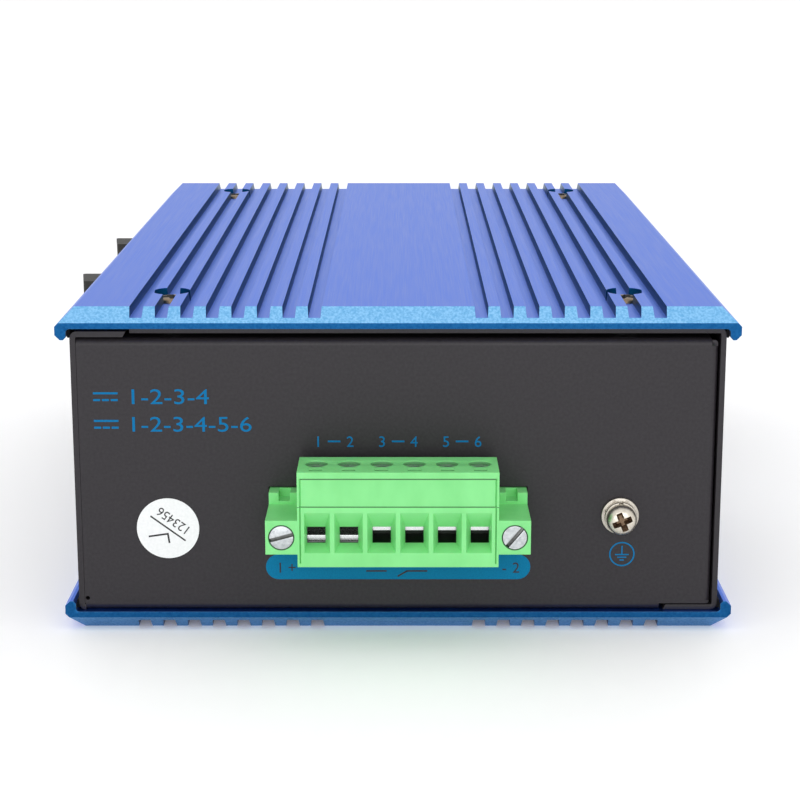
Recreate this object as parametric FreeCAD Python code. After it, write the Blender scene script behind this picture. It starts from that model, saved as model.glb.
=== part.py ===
import FreeCAD, Part

import math
import os

Vec = FreeCAD.Vector

# Sizes in millimetres. X runs across the case from the port wall (-X) to the rear wall (+X), Y from
# the power panel (-Y) to the far panel (+Y), and Z up from the side plate that the case lies on.

# Finned side plates, extruded along Y
plate_length = 158.0
plate_width = 107.5
case_height = 53.0
plate_web = 3.2
plate_bevel = 2.25
plate_side_bevel = 2.85
lip_drop = 1.8
lip_thickness = 1.75
lip_outer_chamfer = 0.8
lip_inner_chamfer = 0.45
lip_fillet = 0.6
centre_flat = 24.0
groove_count = 8
groove_pitch = 4.0
groove_width = 2.2
groove_floor = 1.9
groove_depth = 1.55

# Screws that hold the side plates, sunk in one of the outer grooves
inner_groove_count = 6
screw_end_inset = 15.5
counterbore_diameter = 6.2
counterbore_depth = 2.1
plate_screw_thread = 3.0
plate_screw_head = 5.2
plate_screw_head_height = 1.2
plate_screw_shank = 5.0

# Folded sheet case
sheet = 0.9
bend_inner_radius = 0.2
lip_clearance = 0.4
end_overhang = 1.0
cover_gap_top = 0.9
cover_gap_side = 0.25
seam_from_screw = 5.1
cover_seam = 0.6
fold_gap = 0.05
port_flange_gap = 0.3
panel_return = 4.5
panel_corner_trim = 0.2
panel_corner_round = 0.5
screw_tab_width = 13.0
screw_tab_reach = 6.0
relief_hole = 0.7
relief_hole_inset = 1.4
relief_hole_height = 2.0

# Press nuts in the sheet
press_nut_across_flats = 5.5
press_nut_barrel = 4.2
press_nut_depth = 1.6
press_nut_height = 2.2

# Clearances and fits
hole_clearance = 0.2
thread_clearance = 0.04
cutout_clearance = 0.2
insert_clearance = 0.15

# Circuit boards
board_thickness = 1.6
board_side_gap = 1.2
board_end_gap = 2.2
post_seam_gap = 1.2
post_end_inset = 4.2
standoff_height = 8.1
standoff_across_flats = 5.0
board_thread = 3.0
board_screw_head = 5.4
board_screw_head_height = 2.0
board_screw_shank = 6.0
spacer_stud = 5.0
solder_tail = 1.5

# Network sockets on the port wall
jack_count = 4
jack_pitch = 16.0
jack_width = 14.2
jack_height = 12.9
jack_depth = 19.5
jack_shield = 0.25
jack_proud = 0.3
jack_headroom = 0.8
jack_from_panel = 24.65
jack_mouth_width = 11.9
jack_mouth_height = 6.8
jack_mouth_sill = 3.4
jack_mouth_depth = 13.0
jack_latch_width = 6.3
jack_latch_depth = 1.9
contact_count = 8
contact_pitch = 1.02
contact_width = 0.45
contact_thickness = 0.3
contact_length = 8.5
contact_drop = 2.1
contact_set_back = 3.0

# Fibre module cages, each closed by a dust plug
cage_count = 2
cage_gap = 1.9
cage_from_far_panel = 19.8
cage_width = 14.2
cage_height = 9.4
cage_length = 47.0
cage_wall = 0.3
cage_proud = 0.5
cage_connector_length = 12.0
cage_connector_height = 5.6
cage_connector_inset = 4.0
cage_connector_side_gap = 1.0
cage_connector_cheek = 1.2
dust_plug_insert = 11.0
dust_plug_collar = 1.2
dust_grip_width = 8.8
dust_grip_height = 7.4
dust_grip_reach = 11.5
dust_grip_skew = 1.5
dust_grip_rake = 1.7
dust_grip_waist = 0.8
dust_grip_round = 0.6

# Indicator light pipes between the two cages
pipe_columns = 4
pipe_rows = 2
pipe_pitch = 3.6
pipe_row_pitch = 3.6
pipe_width = 2.4
pipe_height = 1.4
pipe_first_row = 3.0
pipe_bar_depth = 3.0
pipe_bar_set_back = 3.6
pipe_bar_margin = 1.5
pipe_bar_cover = 1.3
pipe_foot = 1.2
led_height = 0.6
led_width = 1.6

# Pluggable power terminal
pole_count = 6
pole_pitch = 5.08
plug_cheek = 0.3
plug_height = 15.2
plug_depth = 9.0
plug_lift = 0.6
plug_front_recess = 0.25
plug_recess_bottom = 9.6
plug_recess_top = 14.2
plug_recess_margin = 0.55
cheek_slot = 0.2
cheek_slot_depth = 0.5
cheek_slot_margin = 0.55
funnel_centre = 5.5
funnel_width = 4.4
funnel_height = 6.5
funnel_depth = 2.2
funnel_end_inset = 0.45
wire_centre = 4.55
wire_hole_width = 2.85
wire_hole_height = 2.6
clamp_shaft_width = 3.9
clamp_shaft_depth = 3.8
clamp_from_back = 3.9
clamp_side_gap = 0.15
clamp_plate_height = 0.9
clamp_wall = 0.35
clamp_window_spare = 0.3
clamp_overlap = 0.95
clamp_headroom = 0.8
open_poles = 2
clamp_hole = 3.56
clamp_screw_head = 3.2
clamp_screw_head_height = 1.6
clamp_screw_sink = 0.5
clamp_screw_thread = 2.4
clamp_screw_tip_gap = 0.6
clamp_slot_width = 0.7
clamp_slot_depth = 0.9
driver_slot_width = 2.1
driver_slot_length = 0.9
driver_slot_depth = 1.2
driver_slot_from_front = 1.6
flange_width = 4.95
flange_bottom = 2.05
flange_height = 5.45
flange_screw_head = 3.7
flange_screw_head_height = 2.2
flange_screw_thread = 2.5
flange_slot_width = 0.6
flange_slot_depth = 0.7
flange_slot_turns = (15.0, 50.0)
tongue_length = 7.4
tongue_side_inset = 0.95
tongue_bottom = 0.7
tongue_height = 7.5

# Terminal socket on the power board
header_proud = 2.8
header_depth = 12.0
header_height = 9.95
header_pocket_clearance = 0.2
header_pocket_spare = 0.6
header_notch_width = 1.8
header_notch_depth = 1.4
header_pin = 1.0
header_pin_front = 1.5
header_pin_back = 1.6
flange_nut_diameter = 4.0
flange_nut_length = 6.0

# Earth terminal on the power panel
earth_from_rear = 16.1
earth_height = 16.0
earth_thread = 2.5
earth_head = 4.8
earth_head_height = 2.4
earth_head_shoulder = 1.1
earth_flat_diameter = 6.0
earth_flat_thickness = 0.7
earth_spring_diameter = 5.1
earth_spring_thickness = 1.1
earth_spring_split = 0.6
earth_screw_shank = 5.5
earth_nut_length = 3.0

# Sticker on the power panel
sticker_diameter = 10.0
sticker_thickness = 0.12
sticker_from_port_wall = 14.7
sticker_height = 13.8

# Rail clip on the rear wall, for a 35 mm rail that runs along Z
rail_width = 35.0
rail_slot = 1.6
rail_clearance = 0.6
clip_length = 30.0
clip_base = 2.5
clip_wall = 2.0
clip_lip = 2.2
clip_hook_overlap = 3.4
clip_spring_room = 2.4
clip_spring = 0.5
clip_screw_spacing = 18.0
clip_screw_thread = 3.0
clip_screw_head = 5.6
clip_screw_shank = 4.6

# Parts on the boards
chip_size = 20.0
chip_height = 1.8
chip_x = 14.0
chip_y = 10.0
pad_thickness = 0.5
heat_block_size = 24.0
transformer_length = 15.0
transformer_width = 12.5
transformer_height = 6.0
transformer_gap = 3.0
link_columns = 5
link_rows = 2
link_pitch = 2.54
link_from_rear_edge = 16.45
link_from_near_edge = 35.0
link_socket_height = 8.5
link_strip_height = 2.5
link_pin = 0.64
link_pin_depth = 6.0
capacitor_diameter = 10.0
capacitor_headroom = 3.75
capacitor_pitch = 11.5
capacitor_count = 4
capacitor_from_port_edge = 14.45
capacitor_from_near_edge = 29.0
inductor_size = 12.0
inductor_height = 7.0
inductor_core = 9.0
inductor_pitch = 16.0
inductor_count = 3
inductor_x = -14.0
inductor_y = -40.0
power_transformer_length = 24.0
power_transformer_width = 20.0
power_transformer_headroom = 4.75
power_transformer_flange = 2.0
power_transformer_x = 8.0
power_transformer_y = 10.0
power_chip_size = 9.0
power_chip_height = 1.4
power_chip_pitch = 14.0
power_chip_count = 3
power_chip_from_port_edge = 24.45
power_chip_gap = 1.5

# Places worked out from the sizes above
body_x = plate_width / 2 - lip_thickness - lip_clearance
panel_y = plate_length / 2 - end_overhang
floor_z = plate_web
roof_z = case_height - plate_web
bend_outer_radius = bend_inner_radius + sheet
tray_top = roof_z - sheet - cover_gap_top
tray_right = body_x - sheet - cover_gap_side
screw_x = centre_flat / 2 + groove_width / 2 + inner_groove_count * groove_pitch
screw_y = plate_length / 2 - screw_end_inset
board_x = tray_right - sheet - board_side_gap
board_y = panel_y - sheet - board_end_gap
power_board_z = floor_z + sheet + standoff_height
power_board_top = power_board_z + board_thickness
jack_top = tray_top - sheet - jack_headroom
main_board_top = jack_top - jack_shield - jack_height
main_board_z = main_board_top - board_thickness
floor_edge = screw_x + seam_from_screw
cover_flange_tip = floor_edge + cover_seam
jack_1_y = -panel_y + jack_from_panel
jack_outer = jack_width + 2 * jack_shield
first_cage_y = jack_1_y + (jack_count - 1) * jack_pitch + jack_outer / 2 + cage_gap + cage_width / 2
last_cage_y = panel_y - cage_from_far_panel
cage_step = (last_cage_y - first_cage_y) / max(cage_count - 1, 1)
pipe_y = first_cage_y + cage_step / 2
header_front = -panel_y - header_proud
plug_front = header_front - plug_depth
plug_half = pole_count * pole_pitch / 2 + plug_cheek
plug_z = power_board_top + plug_lift
flange_half = plug_half + flange_width
flange_screw_x = plug_half + flange_width / 2
flange_screw_z = plug_z + flange_bottom + flange_height / 2
pin_z = plug_z + tongue_bottom + tongue_height / 2
clamp_y = header_front - clamp_from_back
wire_low = plug_z + wire_centre - wire_hole_height / 2
wire_high = wire_low + wire_hole_height
clamp_raised = wire_high - clamp_overlap
clamp_window = wire_hole_height + clamp_window_spare
clamp_height = clamp_window + 2 * clamp_plate_height
clamp_shaft_top = clamp_raised + clamp_height + clamp_headroom
earth_x = body_x - earth_from_rear
earth_z = floor_z + earth_height
clip_z = case_height / 2
between_boards = main_board_z - power_board_top
capacitor_height = between_boards - capacitor_headroom
power_transformer_height = between_boards - power_transformer_headroom
link_x = board_x - link_from_rear_edge
link_y = -board_y + link_from_near_edge


def box(x0, x1, y0, y1, z0, z1):
    """Block between two corners."""
    return Part.makeBox(x1 - x0, y1 - y0, z1 - z0, Vec(x0, y0, z0))


def rod(diameter, start, direction, length):
    """Round bar from a start point."""
    return Part.makeCylinder(diameter / 2, length, Vec(*start), Vec(*direction))


def joined(shapes):
    """One solid from pieces that overlap or meet."""
    first, *rest = shapes
    return first.multiFuse(rest).removeSplitter() if rest else first


def cut(shape, tools):
    """Shape with every tool taken away."""
    return shape.cut(tools) if tools else shape


def group(shapes):
    """Separate solids kept together as one node."""
    return Part.makeCompound(shapes)


def moved(shape, x, y, z):
    """Copy of a shape at another place."""
    copy = shape.copy()
    copy.translate(Vec(x, y, z))
    return copy


def xz(u, v):
    return Vec(u, 0, v)


def xy(u, v):
    return Vec(u, v, 0)


def yz(u, v):
    return Vec(0, u, v)


def rounded_face(corners, plane):
    """Face inside a closed outline of (u, v, radius) corners, drawn on a plane."""
    starts, ends, middles = [], [], []
    count = len(corners)
    for i, (u, v, radius) in enumerate(corners):
        here = Vec(u, v, 0)
        before = Vec(*corners[i - 1][:2], 0) - here
        after = Vec(*corners[(i + 1) % count][:2], 0) - here
        before.normalize()
        after.normalize()
        half = before.getAngle(after) / 2
        reach = radius / math.tan(half) if radius else 0.0
        inward = before + after
        starts.append(here + before * reach)
        ends.append(here + after * reach)
        if radius:
            inward.normalize()
            middles.append(here + inward * (radius / math.sin(half) - radius))
        else:
            middles.append(None)
    edges = []
    for i in range(count):
        if middles[i]:
            points = [plane(p.x, p.y) for p in (starts[i], middles[i], ends[i])]
            edges.append(Part.Arc(*points).toShape())
        follow = starts[(i + 1) % count]
        if (follow - ends[i]).Length > 1e-6:
            edges.append(Part.makeLine(plane(ends[i].x, ends[i].y), plane(follow.x, follow.y)))
    return Part.Face(Part.Wire(edges))


def extruded(corners, plane, start, direction):
    """Prism of a rounded outline, from a start point along a direction."""
    solid = rounded_face(corners, plane).extrude(Vec(*direction))
    solid.translate(Vec(*start))
    return solid


def sided_bar(sides, diameter, start, direction, length):
    """Straight bar with flat sides, whose corners lie on a circle."""
    axis = Vec(*direction)
    across = Vec(1, 0, 0) if abs(axis.z) > 0.5 else Vec(0, 0, 1)
    beside = axis.cross(across)
    corners = []
    for k in range(sides + 1):
        turn = math.radians(360 * k / sides)
        spoke = across * math.cos(turn) + beside * math.sin(turn)
        corners.append(Vec(*start) + spoke * (diameter / 2))
    return Part.Face(Part.makePolygon(corners)).extrude(axis * length)


def hexagon_bar(across_flats, start, direction, length):
    """Six-sided bar, such as a nut or a post."""
    return sided_bar(6, across_flats / math.cos(math.radians(30)), start, direction, length)


def hidden_rod(diameter, start, direction, length):
    """Thread or round hole that other pieces hide, drawn with eight flat sides."""
    return sided_bar(8, diameter, start, direction, length)


def corner_places(x, y):
    """Four places mirrored about the middle of the case."""
    return [(sx * x, sy * y) for sx in (-1, 1) for sy in (-1, 1)]


def plate_outline():
    """Section of a side plate, with its inner face at z = 0 and its grooves upwards."""
    half = plate_width / 2
    lip_in = half - lip_thickness
    right = [
        (lip_in, 0, lip_fillet),
        (lip_in, lip_inner_chamfer - lip_drop, 0),
        (lip_in + lip_inner_chamfer, -lip_drop, 0),
        (half - lip_outer_chamfer, -lip_drop, 0),
        (half, lip_outer_chamfer - lip_drop, 0),
        (half, plate_web - plate_side_bevel, 0),
        (half - plate_side_bevel, plate_web, 0),
    ]
    for k in reversed(range(groove_count)):
        middle = centre_flat / 2 + groove_width / 2 + k * groove_pitch
        right.append((middle + groove_width / 2, plate_web, 0))
        right.append((middle + groove_floor / 2, plate_web - groove_depth, 0))
        right.append((middle - groove_floor / 2, plate_web - groove_depth, 0))
        right.append((middle - groove_width / 2, plate_web, 0))
    left = [(-x, z, radius) for x, z, radius in reversed(right)]
    return right + left


def heat_sink_plate():
    """Grooved plate, bevelled across both ends and counterbored for its screws."""
    half = plate_length / 2
    plate = extruded(plate_outline(), xz, (0, -half, 0), (0, plate_length, 0))
    tools = []
    for side in (-1, 1):
        bevel = Part.makePolygon([
            Vec(-plate_width, side * half, plate_web - plate_bevel),
            Vec(-plate_width, side * half, plate_web),
            Vec(-plate_width, side * (half - plate_bevel), plate_web),
            Vec(-plate_width, side * half, plate_web - plate_bevel),
        ])
        tools.append(Part.Face(bevel).extrude(Vec(2 * plate_width, 0, 0)))
    seat = plate_web - counterbore_depth
    for x, y in corner_places(screw_x, screw_y):
        tools.append(rod(counterbore_diameter, (x, y, seat), (0, 0, 1), counterbore_depth))
        tools.append(hidden_rod(plate_screw_thread + hole_clearance, (x, y, 0), (0, 0, 1), plate_web))
    return cut(plate, tools)


def on_roof(shape):
    """Copy of a plate or a plate's screw, placed on the upper side of the case."""
    return moved(shape, 0, 0, roof_z)


def on_floor(shape):
    """Copy of a plate or a plate's screw, turned over under the case."""
    return moved(shape.mirror(Vec(0, 0, 0), Vec(0, 0, 1)), 0, 0, floor_z)


def plate_screw(x, y):
    """Low round-head screw, seated in a plate's counterbore."""
    seat = plate_web - counterbore_depth
    head = rod(plate_screw_head, (x, y, seat), (0, 0, 1), plate_screw_head_height)
    shank = hidden_rod(plate_screw_thread, (x, y, seat), (0, 0, -1), plate_screw_shank)
    return joined([head, shank])


def plate_screws():
    """Eight screws, four in each plate."""
    screws = [plate_screw(x, y) for x, y in corner_places(screw_x, screw_y)]
    return group([on_roof(s) for s in screws] + [on_floor(s) for s in screws])


def press_nut(seat, direction, flange_height, barrel_length, thread):
    """Six-sided nut pressed in a sheet: flange from a seat point, barrel back through the sheet."""
    axis = Vec(*direction)
    tail = Vec(*seat) - axis * barrel_length
    flange = hexagon_bar(press_nut_across_flats, seat, direction, flange_height)
    barrel = hidden_rod(press_nut_barrel, tail, direction, barrel_length)
    bore = hidden_rod(thread + thread_clearance, tail, direction, barrel_length + flange_height)
    return cut(joined([flange, barrel]), [bore])


def press_nuts():
    """Nuts for the plate screws: their flanges fill the gap under the cover, or stand on the tray."""
    nuts = []
    for x, y in corner_places(screw_x, screw_y):
        above = (x, y, tray_top)
        below = (x, y, floor_z + sheet)
        nuts.append(press_nut(above, (0, 0, 1), cover_gap_top, sheet + press_nut_depth, plate_screw_thread))
        nuts.append(press_nut(below, (0, 0, 1), press_nut_height, sheet, plate_screw_thread))
    return group(nuts)


def port_wall():
    """Port wall: bent up from the floor, and bent over the panels' top into a flange beside the cover."""
    outer = -body_x
    inner = outer + sheet
    foot = outer + bend_outer_radius
    top = tray_top + port_flange_gap + sheet
    tip = -cover_flange_tip
    corners = [
        (foot, floor_z, 0),
        (outer, floor_z, bend_outer_radius),
        (outer, top, bend_outer_radius),
        (tip, top, 0),
        (tip - sheet / 2, top - sheet, 0),
        (inner, top - sheet, bend_inner_radius),
        (inner, floor_z + sheet, bend_inner_radius),
        (foot, floor_z + sheet, 0),
    ]
    return extruded(corners, xz, (0, -panel_y, 0), (0, 2 * panel_y, 0))


def panel_corner(left, z_in, z_out):
    """Flat corner of the near panel, left between its two bends."""
    right = tray_right - panel_corner_trim
    corners = [
        (left, z_in, 0),
        (right, z_in, 0),
        (right, z_out, panel_corner_round),
        (left, z_out, 0),
    ]
    return extruded(corners, xz, (0, -panel_y, 0), (0, sheet, 0))


def end_panel():
    """Near panel: bent up from the floor, with returns bent inwards along its top and its rear edge."""
    front = -panel_y
    inner = front + sheet
    foot = front + bend_outer_radius
    reach = inner + panel_return
    left = -body_x + sheet + fold_gap
    right = tray_right - bend_outer_radius
    low = floor_z + bend_outer_radius
    high = tray_top - bend_outer_radius
    upright = [
        (foot, floor_z, 0),
        (front, floor_z, bend_outer_radius),
        (front, tray_top, bend_outer_radius),
        (reach, tray_top, 0),
        (reach, tray_top - sheet, 0),
        (inner, tray_top - sheet, bend_inner_radius),
        (inner, floor_z + sheet, bend_inner_radius),
        (foot, floor_z + sheet, 0),
    ]
    turned = [
        (right, front, 0),
        (tray_right, front, bend_outer_radius),
        (tray_right, reach, 0),
        (tray_right - sheet, reach, 0),
        (tray_right - sheet, inner, bend_inner_radius),
        (right, inner, 0),
    ]
    panel = extruded(upright, yz, (left, 0, 0), (right - left, 0, 0))
    panel = cut(panel, [
        box(left, -body_x + bend_outer_radius, front, foot, floor_z, low),
        box(floor_edge, right, front, foot, floor_z, low),
    ])
    foot_z = low + panel_corner_round
    rear_return = extruded(turned, xy, (0, 0, foot_z), (0, 0, high - foot_z))
    corners = [
        panel_corner(right, high, tray_top - panel_corner_trim),
        panel_corner(right, foot_z, low),
    ]
    return joined([panel, rear_return] + corners)


def screw_tabs():
    """Tabs on the panels' top returns, each with a nut for a plate screw."""
    tabs = []
    for x, y in corner_places(screw_x, screw_y):
        inside = math.copysign(abs(y) - screw_tab_reach, y)
        outside = math.copysign(panel_y - sheet - panel_return, y)
        y0, y1 = sorted((inside, outside))
        half = screw_tab_width / 2
        tabs.append(box(x - half, x + half, y0, y1, tray_top - sheet, tray_top))
    return tabs


def jack_places():
    """Places of the network sockets along the port wall."""
    return [jack_1_y + k * jack_pitch for k in range(jack_count)]


def cage_places():
    """Places of the module cages along the port wall."""
    return [first_cage_y + k * cage_step for k in range(cage_count)]


def pipe_places():
    """Places (y, z) of the light pipes in the port wall."""
    return [
        (
            pipe_y + (column - (pipe_columns - 1) / 2) * pipe_pitch,
            main_board_top + pipe_first_row + row * pipe_row_pitch,
        )
        for row in range(pipe_rows)
        for column in range(pipe_columns)
    ]


def board_places():
    """Places of the posts that carry the boards."""
    post_radius = standoff_across_flats / 2 / math.cos(math.radians(30))
    return corner_places(floor_edge - post_radius - post_seam_gap, board_y - post_end_inset)


def through_port_wall(y, width, z0, z1):
    """Tool for a square cut-out in the port wall."""
    return box(-body_x - sheet, -body_x + 2 * sheet, y - width / 2, y + width / 2, z0, z1)


def tray_holes():
    """Tools for every cut-out and hole in the tray."""
    gap = cutout_clearance
    tools = [
        through_port_wall(y, jack_outer + 2 * gap, main_board_top - gap, jack_top + gap)
        for y in jack_places()
    ]
    cage_top = main_board_top + cage_height
    tools += [
        through_port_wall(y, cage_width + 2 * gap, main_board_top - gap, cage_top + gap)
        for y in cage_places()
    ]
    for y, z in pipe_places():
        half = pipe_height / 2 + gap
        tools.append(through_port_wall(y, pipe_width + 2 * gap, z - half, z + half))
    tools.append(box(
        -flange_half - gap, flange_half + gap, -panel_y - sheet, -panel_y + 2 * sheet,
        power_board_top - gap, power_board_top + header_height + gap,
    ))
    front = -panel_y - sheet
    tools.append(hidden_rod(press_nut_barrel, (earth_x, front, earth_z), (0, 1, 0), 3 * sheet))
    corner = (-body_x + relief_hole_inset, front, floor_z + relief_hole_height)
    tools.append(rod(relief_hole, corner, (0, 1, 0), 3 * sheet))
    for x, y in corner_places(screw_x, screw_y):
        tools.append(hidden_rod(press_nut_barrel, (x, y, tray_top - 2 * sheet), (0, 0, 1), 3 * sheet))
    for x, y in corner_places(screw_x, screw_y) + board_places():
        tools.append(hidden_rod(press_nut_barrel, (x, y, floor_z - sheet), (0, 0, 1), 3 * sheet))
    return tools


def chassis_tray():
    """Folded sheet with the lower face, the port wall, the power panel and the far panel."""
    floor_y = panel_y - bend_outer_radius
    floor_x = -body_x + bend_outer_radius
    floor = box(floor_x, floor_edge, -floor_y, floor_y, floor_z, floor_z + sheet)
    near = end_panel()
    far = near.mirror(Vec(0, 0, 0), Vec(0, 1, 0))
    return cut(joined([floor, port_wall(), near, far] + screw_tabs()), tray_holes())


def rear_cover():
    """Folded sheet with the upper face, the rear wall and a short flange under it."""
    left = -floor_edge
    right = body_x
    corners = [
        (left, roof_z, 0),
        (right, roof_z, bend_outer_radius),
        (right, floor_z, bend_outer_radius),
        (cover_flange_tip, floor_z, 0),
        (cover_flange_tip + sheet / 2, floor_z + sheet, 0),
        (right - sheet, floor_z + sheet, bend_inner_radius),
        (right - sheet, roof_z - sheet, bend_inner_radius),
        (left, roof_z - sheet, 0),
    ]
    cover = extruded(corners, xz, (0, -panel_y, 0), (0, 2 * panel_y, 0))
    hole = plate_screw_thread + hole_clearance
    tools = [
        hidden_rod(hole, (x, y, roof_z - 2 * sheet), (0, 0, 1), 3 * sheet)
        for x, y in corner_places(screw_x, screw_y)
    ]
    for y in clip_screw_places():
        tools.append(hidden_rod(press_nut_barrel, (right - 2 * sheet, y, clip_z), (1, 0, 0), 3 * sheet))
    return cut(cover, tools)


def circuit_board(z):
    """Board with a hole for each post."""
    board = box(-board_x, board_x, -board_y, board_y, z, z + board_thickness)
    tools = [
        hidden_rod(board_thread + hole_clearance, (x, y, z), (0, 0, 1), board_thickness)
        for x, y in board_places()
    ]
    return cut(board, tools)


def power_board():
    """Lower board, with holes for the tails of the terminal socket's pins."""
    y = header_front + header_depth + header_pin_back - header_pin / 2
    half = header_pin / 2 + hole_clearance / 2
    tools = [
        box(x - half, x + half, y - half, y + half, power_board_z, power_board_top)
        for x in pole_places()
    ]
    return cut(circuit_board(power_board_z), tools)


def main_board():
    """Upper board, which carries the sockets and the cages."""
    return circuit_board(main_board_z)


def board_standoffs():
    """Six-sided posts pressed in the tray's floor, under the power board."""
    posts = []
    low = floor_z + sheet
    for x, y in board_places():
        post = hexagon_bar(standoff_across_flats, (x, y, low), (0, 0, 1), standoff_height)
        foot = hidden_rod(press_nut_barrel, (x, y, floor_z), (0, 0, 1), sheet)
        bore = hidden_rod(board_thread + thread_clearance, (x, y, low), (0, 0, 1), standoff_height)
        posts.append(cut(joined([post, foot]), [bore]))
    return group(posts)


def board_spacers():
    """Six-sided spacers between the boards, with a stud below and a tapped hole above."""
    spacers = []
    for x, y in board_places():
        low = (x, y, power_board_top)
        bar = hexagon_bar(standoff_across_flats, low, (0, 0, 1), between_boards)
        stud = hidden_rod(board_thread, low, (0, 0, -1), board_thickness + spacer_stud)
        bore = hidden_rod(
            board_thread + thread_clearance, (x, y, main_board_z), (0, 0, -1),
            board_screw_shank,
        )
        spacers.append(cut(joined([bar, stud]), [bore]))
    return group(spacers)


def board_screws():
    """Screws that hold the main board on its spacers."""
    screws = []
    for x, y in board_places():
        head = hidden_rod(board_screw_head, (x, y, main_board_top), (0, 0, 1), board_screw_head_height)
        shank = hidden_rod(board_thread, (x, y, main_board_top), (0, 0, -1), board_screw_shank)
        screws.append(joined([head, shank]))
    return group(screws)


def jack_front():
    return -body_x - jack_proud


def rj45_jack(y):
    """Moulded socket body: plug mouth with a latch channel under it."""
    front = jack_front() + jack_shield
    body = box(
        front, front + jack_depth, y - jack_width / 2, y + jack_width / 2,
        main_board_top, main_board_top + jack_height,
    )
    sill = main_board_top + jack_mouth_sill
    mouth = box(
        front, front + jack_mouth_depth, y - jack_mouth_width / 2, y + jack_mouth_width / 2,
        sill, sill + jack_mouth_height,
    )
    latch = box(
        front, front + jack_mouth_depth, y - jack_latch_width / 2, y + jack_latch_width / 2,
        sill - jack_latch_depth, sill,
    )
    return cut(body, [joined([mouth, latch])])


def rj45_shield(y):
    """Thin metal can over the socket, open below and around the mouth."""
    front = jack_front()
    half = jack_outer / 2
    can = box(front, front + jack_depth + 2 * jack_shield, y - half, y + half, main_board_top, jack_top)
    inside = box(
        front + jack_shield, front + jack_shield + jack_depth, y - jack_width / 2, y + jack_width / 2,
        main_board_top, main_board_top + jack_height,
    )
    sill = main_board_top + jack_mouth_sill
    mouth = box(
        front, front + jack_shield, y - jack_mouth_width / 2, y + jack_mouth_width / 2,
        sill - jack_latch_depth, sill + jack_mouth_height,
    )
    return cut(can, [inside, mouth])


def rj45_contacts(y):
    """Row of slanted contact springs under the roof of the plug mouth."""
    ceiling = main_board_top + jack_mouth_sill + jack_mouth_height
    start = jack_front() + contact_set_back
    corners = [
        (start, ceiling, 0),
        (start + contact_length, ceiling - contact_drop, 0),
        (start + contact_length, ceiling - contact_drop - contact_thickness, 0),
        (start, ceiling - contact_thickness, 0),
    ]
    strips = []
    for k in range(contact_count):
        place = y + (k - (contact_count - 1) / 2) * contact_pitch - contact_width / 2
        strips.append(extruded(corners, xz, (0, place, 0), (0, contact_width, 0)))
    return group(strips)


def sfp_cage(y):
    """Folded module cage, open at its mouth and over the connector."""
    front = -body_x - cage_proud
    half = cage_width / 2
    low, high = main_board_top, main_board_top + cage_height
    shell = box(front, front + cage_length, y - half, y + half, low, high)
    inside = box(
        front, front + cage_length - cage_wall, y - half + cage_wall, y + half - cage_wall,
        low + cage_wall, high - cage_wall,
    )
    back = front + cage_length - cage_wall
    window_length = cage_connector_length + 2 * cage_connector_inset
    window = box(
        back - window_length, back, y - half + cage_wall, y + half - cage_wall,
        low, low + cage_wall,
    )
    return cut(shell, [inside, window])


def sfp_connector(y):
    """Edge connector on the board at the back of a cage, with the slot for the module's edge."""
    back = -body_x - cage_proud + cage_length - cage_wall - cage_connector_inset
    half = cage_width / 2 - cage_wall - cage_connector_side_gap
    high = main_board_top + cage_connector_height
    body = box(back - cage_connector_length, back, y - half, y + half, main_board_top, high)
    middle = main_board_top + cage_connector_height / 2
    slot = box(
        back - cage_connector_length, back - cage_connector_length / 2,
        y - half + cage_connector_cheek, y + half - cage_connector_cheek,
        middle - board_thickness / 2, middle + board_thickness / 2,
    )
    return cut(body, [slot])


def sfp_dust_plug(y):
    """Dust plug: a block in the cage, a collar on its mouth and a raked finger grip."""
    front = -body_x - cage_proud
    fit = insert_clearance
    half = cage_width / 2 - cage_wall - fit
    low = main_board_top + cage_wall + fit
    high = main_board_top + cage_height - cage_wall - fit
    block = box(front, front + dust_plug_insert, y - half, y + half, low, high)
    collar = box(front - dust_plug_collar, front, y - half, y + half, low, high)
    root = front - dust_plug_collar
    tip = root - dust_grip_reach
    width = dust_grip_width / 2
    corners = [
        (root, y - width, 0),
        (root, y + width, 0),
        (tip, y + width, dust_grip_round),
        (tip + dust_grip_skew, y - width, dust_grip_round),
    ]
    grip = extruded(corners, xy, (0, 0, high - dust_grip_height), (0, 0, dust_grip_height))
    rake = Part.Face(Part.makePolygon([
        Vec(tip - dust_grip_rake, 0, high),
        Vec(tip, 0, high),
        Vec(tip + dust_grip_rake, 0, high - dust_grip_height),
        Vec(tip - dust_grip_rake, 0, high - dust_grip_height),
        Vec(tip - dust_grip_rake, 0, high),
    ])).extrude(Vec(0, 2 * dust_grip_width, 0))
    waist = [
        box(
            root - dust_grip_reach / 2, root - dust_grip_reach / 4,
            y + side * width - dust_grip_waist, y + side * width + dust_grip_waist, low, high,
        )
        for side in (-1, 1)
    ]
    grip = cut(grip, [moved(rake, 0, y - dust_grip_width, 0)] + waist)
    return joined([block, collar, grip])


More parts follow.
